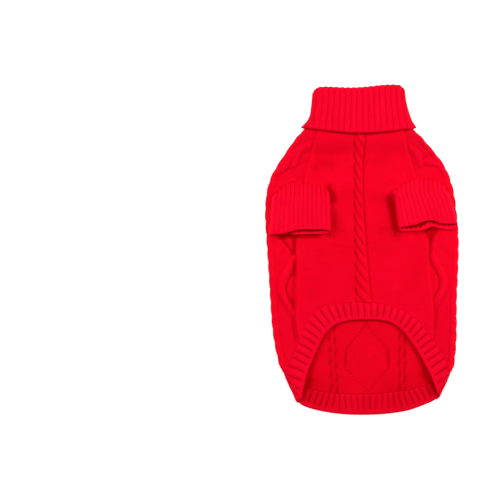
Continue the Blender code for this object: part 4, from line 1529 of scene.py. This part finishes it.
@dataclass
class Collar(Piece):
    """The ribbed collar, turned down over itself."""

    node: str = "collar"
    flat: tuple[float, float] = (0.22, 0.085)
    area: float = 0.0187
    rests_on: tuple[str, ...] = ("table_top", "belly_panel_knit", "back_panel_knit")
    rib_pitch: float = 6.0
    rib_spread: float = 0.09
    rib_middle: float = -2.7
    rib_lean: float = 2.5
    first_valley: float = 0.53
    side_ribs: int = 3
    wales_a_rib: int = 3
    height: float = 0.95
    middle_z: float = 6.55
    half_inside: float = 1.65
    inner_leg: float = 2.1
    outer_leg_starts: float = 2.4
    outer_leg: float = 4.9
    corner: float = 0.045
    sides: Table = Table(
        """y left right
        124  -66.0  60.2
        131  -64.2  58.1
        137  -58.1  53.9
        143  -55.1  51.5
        150  -53.8  49.4
        156  -53.0  48.0
        165  -52.3  46.5
        177  -51.9  45.9"""
    )
    ends: Table = Table(
        """across top free
        0.00  169.2  129.8
        0.02  172.2  129.6
        0.05  173.3  129.3
        0.10  173.7  128.6
        0.20  173.5  127.2
        0.34  172.8  125.4
        0.48  172.9  124.4
        0.62  174.0  124.7
        0.76  175.4  126.2
        0.88  175.9  128.0
        0.94  175.6  128.8
        0.98  174.4  129.4
        1.00  171.0  129.6"""
    )
    across_steps: int = 180
    side_steps: int = 16
    profile_steps: tuple[int, int, int] = (26, 10, 36)

    def ring(self) -> tuple[Array, Array]:
        """Round the flattened collar: the share across, and the angle.

        Returns:
            Both for each column.
        """
        upper = np.linspace(0, 1, self.across_steps + 1)
        turns = np.linspace(0, 1, self.side_steps + 1)[1:-1]
        across = np.concatenate([upper, np.ones(len(turns)), 1 - upper, np.zeros(len(turns))])
        turn, top = np.pi / 2 - np.pi * turns, np.full(len(upper), np.pi / 2)
        return across, np.concatenate([top, turn, -top, -np.pi + turn])

    def ribs_at(self, x: Array, y: Array) -> Array:
        """Ribs counted across a flat side of the collar, whose ribs spread towards its lip.

        Args:
            x: places across.
            y: places along.

        Returns:
            The count, with a whole number in each valley.
        """
        spread = 1 - ease(y, 126, 166)
        pitch = self.rib_pitch * (1 + self.rib_spread * spread)
        count = (x - self.rib_middle) / pitch
        for _ in range(8):
            count = (x - self.rib_middle - self.rib_lean * spread * (count / 9) ** 5) / pitch
        return count - self.first_valley

    def rib_counts(self, x: Array, y: Array) -> tuple[Array, Array]:
        """Ribs all round the collar, and wales in ribs, which run on round the ring.

        Args:
            x: places across, by rows and columns.
            y: places along.

        Returns:
            The ribs counted, and the same without a step, with one more column.
        """
        flat, turn = self.across_steps + 1, self.side_steps - 1
        turns = np.linspace(0, 1, self.side_steps + 1)[1:-1][None, :] * self.side_ribs
        count = self.ribs_at(x, y)
        right, left = count[:, flat - 1 : flat], count[:, :1]
        under = count[:, flat + turn : 2 * flat + turn]
        ribs_round = np.concatenate([count[:, :flat], right + turns, under, left + turns], axis=1)
        far = 2 * right + self.side_ribs
        run_on = (count[:, :flat], right + turns, far - under, far - left + turns)
        return ribs_round, np.concatenate([*run_on, far - left + self.side_ribs], axis=1)

    def face(self, across: Array, angle: Array, inner: bool) -> Array:
        """One face of the collar, from the neck seam up inside, over the turn and down outside.

        Args:
            across: the share across, of each column.
            angle: the angle round the flattened ring, of each column.
            inner: whether it is the face that is folded onto itself.

        Returns:
            The points.
        """
        near, far = (self.inner_leg, self.outer_leg_starts) if inner else (0.0, self.outer_leg)
        turn_radius = (far - near) / 2
        place = mix(self.corner, 1 - self.corner, across) + self.corner * np.cos(angle)
        top, free = self.ends.at("top", place) - self.outer_leg / 2, self.ends.at("free", place)
        inside, turns, outside = (np.linspace(0, 1, steps + 1) for steps in self.profile_steps)
        rows = [(mix(self.form.neck_y - 0.4, top, share), near) for share in inside]
        for turn in turns[1:-1] * np.pi:
            offset = (near + far) / 2 - turn_radius * np.cos(turn)
            rows.append((top + turn_radius * np.sin(turn), offset))
        rows += [(mix(top, free, share), far) for share in outside]
        rings = []
        for y, offset in rows:
            radius = self.half_inside + offset
            left = self.sides.at("left", y) + self.outer_leg - offset + radius
            right = self.sides.at("right", y) - self.outer_leg + offset - radius
            x = mix(left, right, across) + radius * np.cos(angle)
            rings.append(together(x, y, self.middle_z + radius * np.sin(angle)))
        return np.stack(rings)

    def cloth(self) -> Cloth:
        """Knits the collar as one wall.

        Returns:
            Rows from the neck seam over the turn to the lip, and columns all the way round.
        """
        across, angle = self.ring()
        outer, inner = (self.face(across, angle, face) for face in (False, True))
        count, run_on = self.rib_counts(outer[..., 0], outer[..., 1])
        inside, turn, outside = self.profile_steps
        row = np.arange(len(outer))[:, None]
        rise = ease(row, inside - 2, inside + turn * 0.6)
        lip = bell(1 - np.clip((row - inside - turn) / outside, 0, 1), 0.055)
        crest = ribs(count, 0.7)
        down = ease(-np.sin(angle), 0.0, 0.6)
        bump = crest * self.height * rise * (1 - 0.6 * lip) + 0.3 * lip * (1 - down)
        bump = bump - self.height * rise * down * (row > inside)
        # Painted shade in the rib valleys, and along the sides and the top turn, where the collar
        # turns away.
        turned = 0.8 * (1 - np.abs(np.sin(angle))) + 0.45 * bell(row - inside - turn / 2, 2.5)
        shade = 0.14 - 0.68 * (1 - crest) ** 1.4 * (1 - 0.6 * lip) - turned
        shade, plain = np.clip(shade, -1, 1), np.zeros(bump.shape)
        stitches = together(run_on * self.wales_a_rib, lengths_along(outer, inner) / COURSE)
        return Cloth(outer, inner, bump, plain, shade, plain, stitches, ring=True)


@dataclass
class Sleeve(Piece):
    """A short ribbed sleeve, folded down over the body at its armhole."""

    node: str = "sleeve_left"
    flat: tuple[float, float] = (0.133, 0.045)
    area: float = 0.0058
    rests_on: tuple[str, ...] = ("belly_panel_knit", "back_panel_knit")
    side: Side = Side.LEFT
    rib_count: int = 13
    # Painted light that lifts the whole sleeve's colour.
    lighter: float = 0.0
    waviness: float = 0.3
    height: float = 0.7
    thickness: float = 1.6
    flat_height: float = 5.6
    flat_length: float = 33.0
    rounded_side: float = 5.0
    bend_radius: float = 1.9
    puff: float = 0.2
    clear: float = 0.6
    wales_a_rib: int = 2
    points_a_rib: int = 13
    lower_steps: int = 70
    tip: float = 0.004
    mouth_width: float = 66.0
    closeness: float = 1.4
    bend_steps: int = 14
    length_steps: int = 30

    def ring(self) -> tuple[Array, Array, Array]:
        """Round the sleeve.

        Returns:
            The share across, 1 on the upper layer, and the ribs counted.
        """
        upper = np.linspace(0, 1, self.rib_count * self.points_a_rib + 1)
        lower = np.linspace(self.tip, 1 - self.tip, self.lower_steps + 1)
        is_upper = np.concatenate([np.ones(len(upper)), np.zeros(len(lower))])
        count = np.concatenate([upper, 1 + lower]) * self.rib_count
        return np.concatenate([upper, 1 - lower]), is_upper, count

    def lengths(self) -> Array:
        """Shares along the sleeve, closest together at its mouth."""
        return 1 - (1 - np.linspace(0, 1, self.length_steps + 1)) ** self.closeness

    def swell(self, across: Array, width: Number, side: float) -> Array:
        """0 at the two ends and 1 past a rounded side of the given width."""
        from_end = np.minimum(across, 1 - across) * width
        return np.sqrt(np.clip(1 - (1 - np.clip(from_end / side, 0, 1)) ** 2, 0, 1))

    def face(self, across: Array, upper: Array, inner: bool) -> Array:
        """One face of the sleeve, by rings from its armhole over the bend to its mouth.

        Args:
            across: the share across, of each column.
            upper: 1 on the upper layer and 0 on the lower one.
            inner: whether it is the inner face.

        Returns:
            The points.
        """
        form, sleeve = self.form, self.form.sleeves[self.side.end]
        top, low = sleeve.edges.at("top", across), sleeve.edges.at("low", across)
        lips = sleeve.edges.at("upper_lip", across), sleeve.edges.at("lower_lip", across)
        inset = self.thickness if inner else 0.0
        bends = [(bend, 0.0) for bend in np.linspace(0, 1, self.bend_steps + 1)]
        rings = []
        for bend, length in bends + [(1.0, along) for along in self.lengths()[1:]]:
            travel = 0.3 * ease(bend, 0.5, 1) + 0.7 * length
            left = mix(sleeve.armhole_x[0], sleeve.mouth_x[0], travel) + inset
            right = mix(sleeve.armhole_x[1], sleeve.mouth_x[1], travel) - inset
            x = mix(left, right, across)
            swell = self.swell(across, right - left, self.rounded_side - inset)
            flat_height = (self.flat_height - 2 * inset) * swell
            armhole_height = np.maximum(top - low - 2 * inset * swell, 0)
            height = mix(armhole_height, flat_height, ease(bend, 0, 1))
            angle = bend * np.pi / 2
            start = self.bend_radius + inset * mix(swell, 1, ease(bend, 0, 1))
            puff = 1 + self.puff * np.sin(np.pi * bend)
            pivot_y = low - self.bend_radius
            y = pivot_y + (start + height * upper) * np.cos(angle)
            y = mix(y, np.where(upper, *lips), length)
            seat = form.upper(x, pivot_y, False) - form.cloth / 2
            rest = form.upper(x, y, False) + self.clear - self.bend_radius
            z = mix(seat, rest, ease(length, 0, 0.35))
            z = z + (start + flat_height * puff * upper) * np.sin(angle)
            rings.append(together(x, y, z))
        return np.stack(rings)

    def cloth(self) -> Cloth:
        """Knits the sleeve as one wall, with a fan of narrow ribs on its upper layer.

        Returns:
            Rows from the armhole over the bend to the mouth, and columns all the way round.
        """
        across, upper, count = self.ring()
        outer, inner = (self.face(across, upper, face) for face in (False, True))
        bend = np.clip(np.arange(len(outer)) / self.bend_steps, 0, 1)[:, None]
        length = np.concatenate([np.zeros(self.bend_steps), self.lengths()])[:, None]
        lip = bell(1 - length, 0.06)
        swell = self.swell(across, self.mouth_width, self.rounded_side)
        crest = ribs(count, 0.7)
        bump = crest * self.height * upper * swell * ease(bend, 0.0, 0.2) * (1 - 0.7 * lip)
        bump = bump + 0.2 * lip * upper * swell
        # Painted shade in the rib valleys, darker on the bend, plus the sleeve's painted light;
        # the lower layer is painted dark where the mouth lies shut.
        on_bend = 1 - ease(bend, 0.4, 1.0)
        shade = -(0.42 + 0.4 * on_bend) * (1 - crest) ** 1.4 * (1 - 0.7 * lip)
        shade = shade + 0.14 + self.lighter - 0.12 * on_bend
        mouth = self.form.sleeves[self.side.end].mouth
        light, shut = mouth.at("lip", across), mouth.at("shut", across)
        shade = np.clip(mix(-shut, shade, upper), -1, 1)
        dent = -0.5 * lip * (1 - upper)
        # Painted shade in the sleeve's hollow, beyond the light lip at its mouth, with a wavy
        # edge.
        wavy = light + self.waviness * np.cos(2 * np.pi * count)
        hollow = 0.15 - 1.15 * ease((1 - length) * self.flat_length, wavy, wavy + 1.0)
        hollow = np.clip(hollow - 1.1 * shut * (1 - upper), -1, 1)
        around = np.append(count, 2 * self.rib_count)
        stitches = together(self.wales_a_rib * around, lengths_along(outer, inner) / COURSE)
        return Cloth(outer, inner, bump, dent, shade, hollow, stitches, ring=True)


# ---------- studio


@dataclass(frozen=True)
class Studio:
    """A pale table top, four soft lights and the camera."""

    frame_width: float = 0.535
    look_at: tuple[float, float] = (-0.1196, 0.00015)
    plane_height: float = 0.006
    camera_height: float = 2.2
    sensor: float = 36.0
    table_size: float = 6.0
    table_z: float = -0.0004
    world: float = 0.28

    def build(self) -> None:
        """Builds the studio round the sweater."""
        self.table()
        self.light("light_past_collar", (-0.05, 1.3, 1.7), 0.7, 17.0)
        self.light("light_left", (-1.6, 0.35, 0.95), 0.6, 17.0)
        self.light("light_right", (1.5, 0.35, 0.95), 0.6, 20.0)
        self.light("light_overhead", (-0.05, 0.1, 2.9), 1.6, 7.0)
        self.surroundings()
        self.camera()

    def table(self) -> None:
        """The pale table top, just under the sweater."""
        for thing in list(bpy.context.selected_objects):
            thing.select_set(False)
        bpy.ops.mesh.primitive_plane_add(size=self.table_size, location=(0, 0, 0))
        top = bpy.context.object
        top.name = "table_top"
        for vertex in top.data.vertices:
            vertex.co.z = self.table_z
        # Matt white laminate: it only has to be pale and even.
        material = bpy.data.materials.new("pale_matt_table")
        material.use_nodes = True
        laminate = {
            "Base Color": linear("#FAFAFA"),
            "Roughness": 0.9,
            "Specular IOR Level": 0.1,
            "Emission Color": linear("#FFFFFF"),
            "Emission Strength": 0.45,
        }
        for name, value in laminate.items():
            material.node_tree.nodes["Principled BSDF"].inputs[name].default_value = value
        top.data.materials.append(material)

    def light(self, name: str, place: tuple[float, ...], size: float, power: float) -> None:
        """A square soft light that looks at the sweater.

        Args:
            name: the light's name.
            place: where it hangs, in metres.
            size: the side of its square, in metres.
            power: its power in watts.
        """
        lamp = bpy.data.lights.new(name, "AREA")
        lamp.size, lamp.energy = size, power
        light = bpy.data.objects.new(name, lamp)
        light.location = place
        light.rotation_euler = (-Vector(place)).to_track_quat("-Z", "Y").to_euler()
        bpy.context.scene.collection.objects.link(light)

    def surroundings(self) -> None:
        """Plain white light from all round."""
        world = bpy.data.worlds.new("white_room")
        world.use_nodes = True
        background = world.node_tree.nodes["Background"]
        background.inputs[0].default_value = (1, 1, 1, 1)
        background.inputs[1].default_value = self.world
        bpy.context.scene.world = world

    def camera(self) -> None:
        """A long lens that looks straight down, with its frame's width given on the sweater."""
        lens = bpy.data.cameras.new("camera")
        lens.sensor_width = self.sensor
        lens.lens = self.sensor * self.camera_height / self.frame_width
        camera = bpy.data.objects.new("camera", lens)
        camera.location = (*self.look_at, self.camera_height + self.plane_height)
        scene = bpy.context.scene
        scene.collection.objects.link(camera)
        scene.camera = camera
        scene.view_settings.view_transform = "Standard"
        scene.view_settings.look = "None"


def main() -> None:
    """Builds the sweater's pieces in the order that they are sewn, then the studio."""
    logging.basicConfig(level=logging.INFO, format="%(message)s")
    form = SweaterForm()
    materials = {finish.name: finish.material() for finish in (CABLE_KNIT, RIB_KNIT)}
    # The right sleeve gets a little painted light.
    right = {"side": Side.RIGHT, "rib_count": 12, "lighter": 0.1, "waviness": 0.9}
    pieces = (
        BackPanel(form),
        BellyPanel(form),
        HemBand(form),
        Sleeve(form),
        Sleeve(form, "sleeve_right", **right),
        Collar(form),
    )
    for piece in pieces:
        piece.build(materials[piece.finish.name])
    Studio().build()


if __name__ == "__main__":
    main()
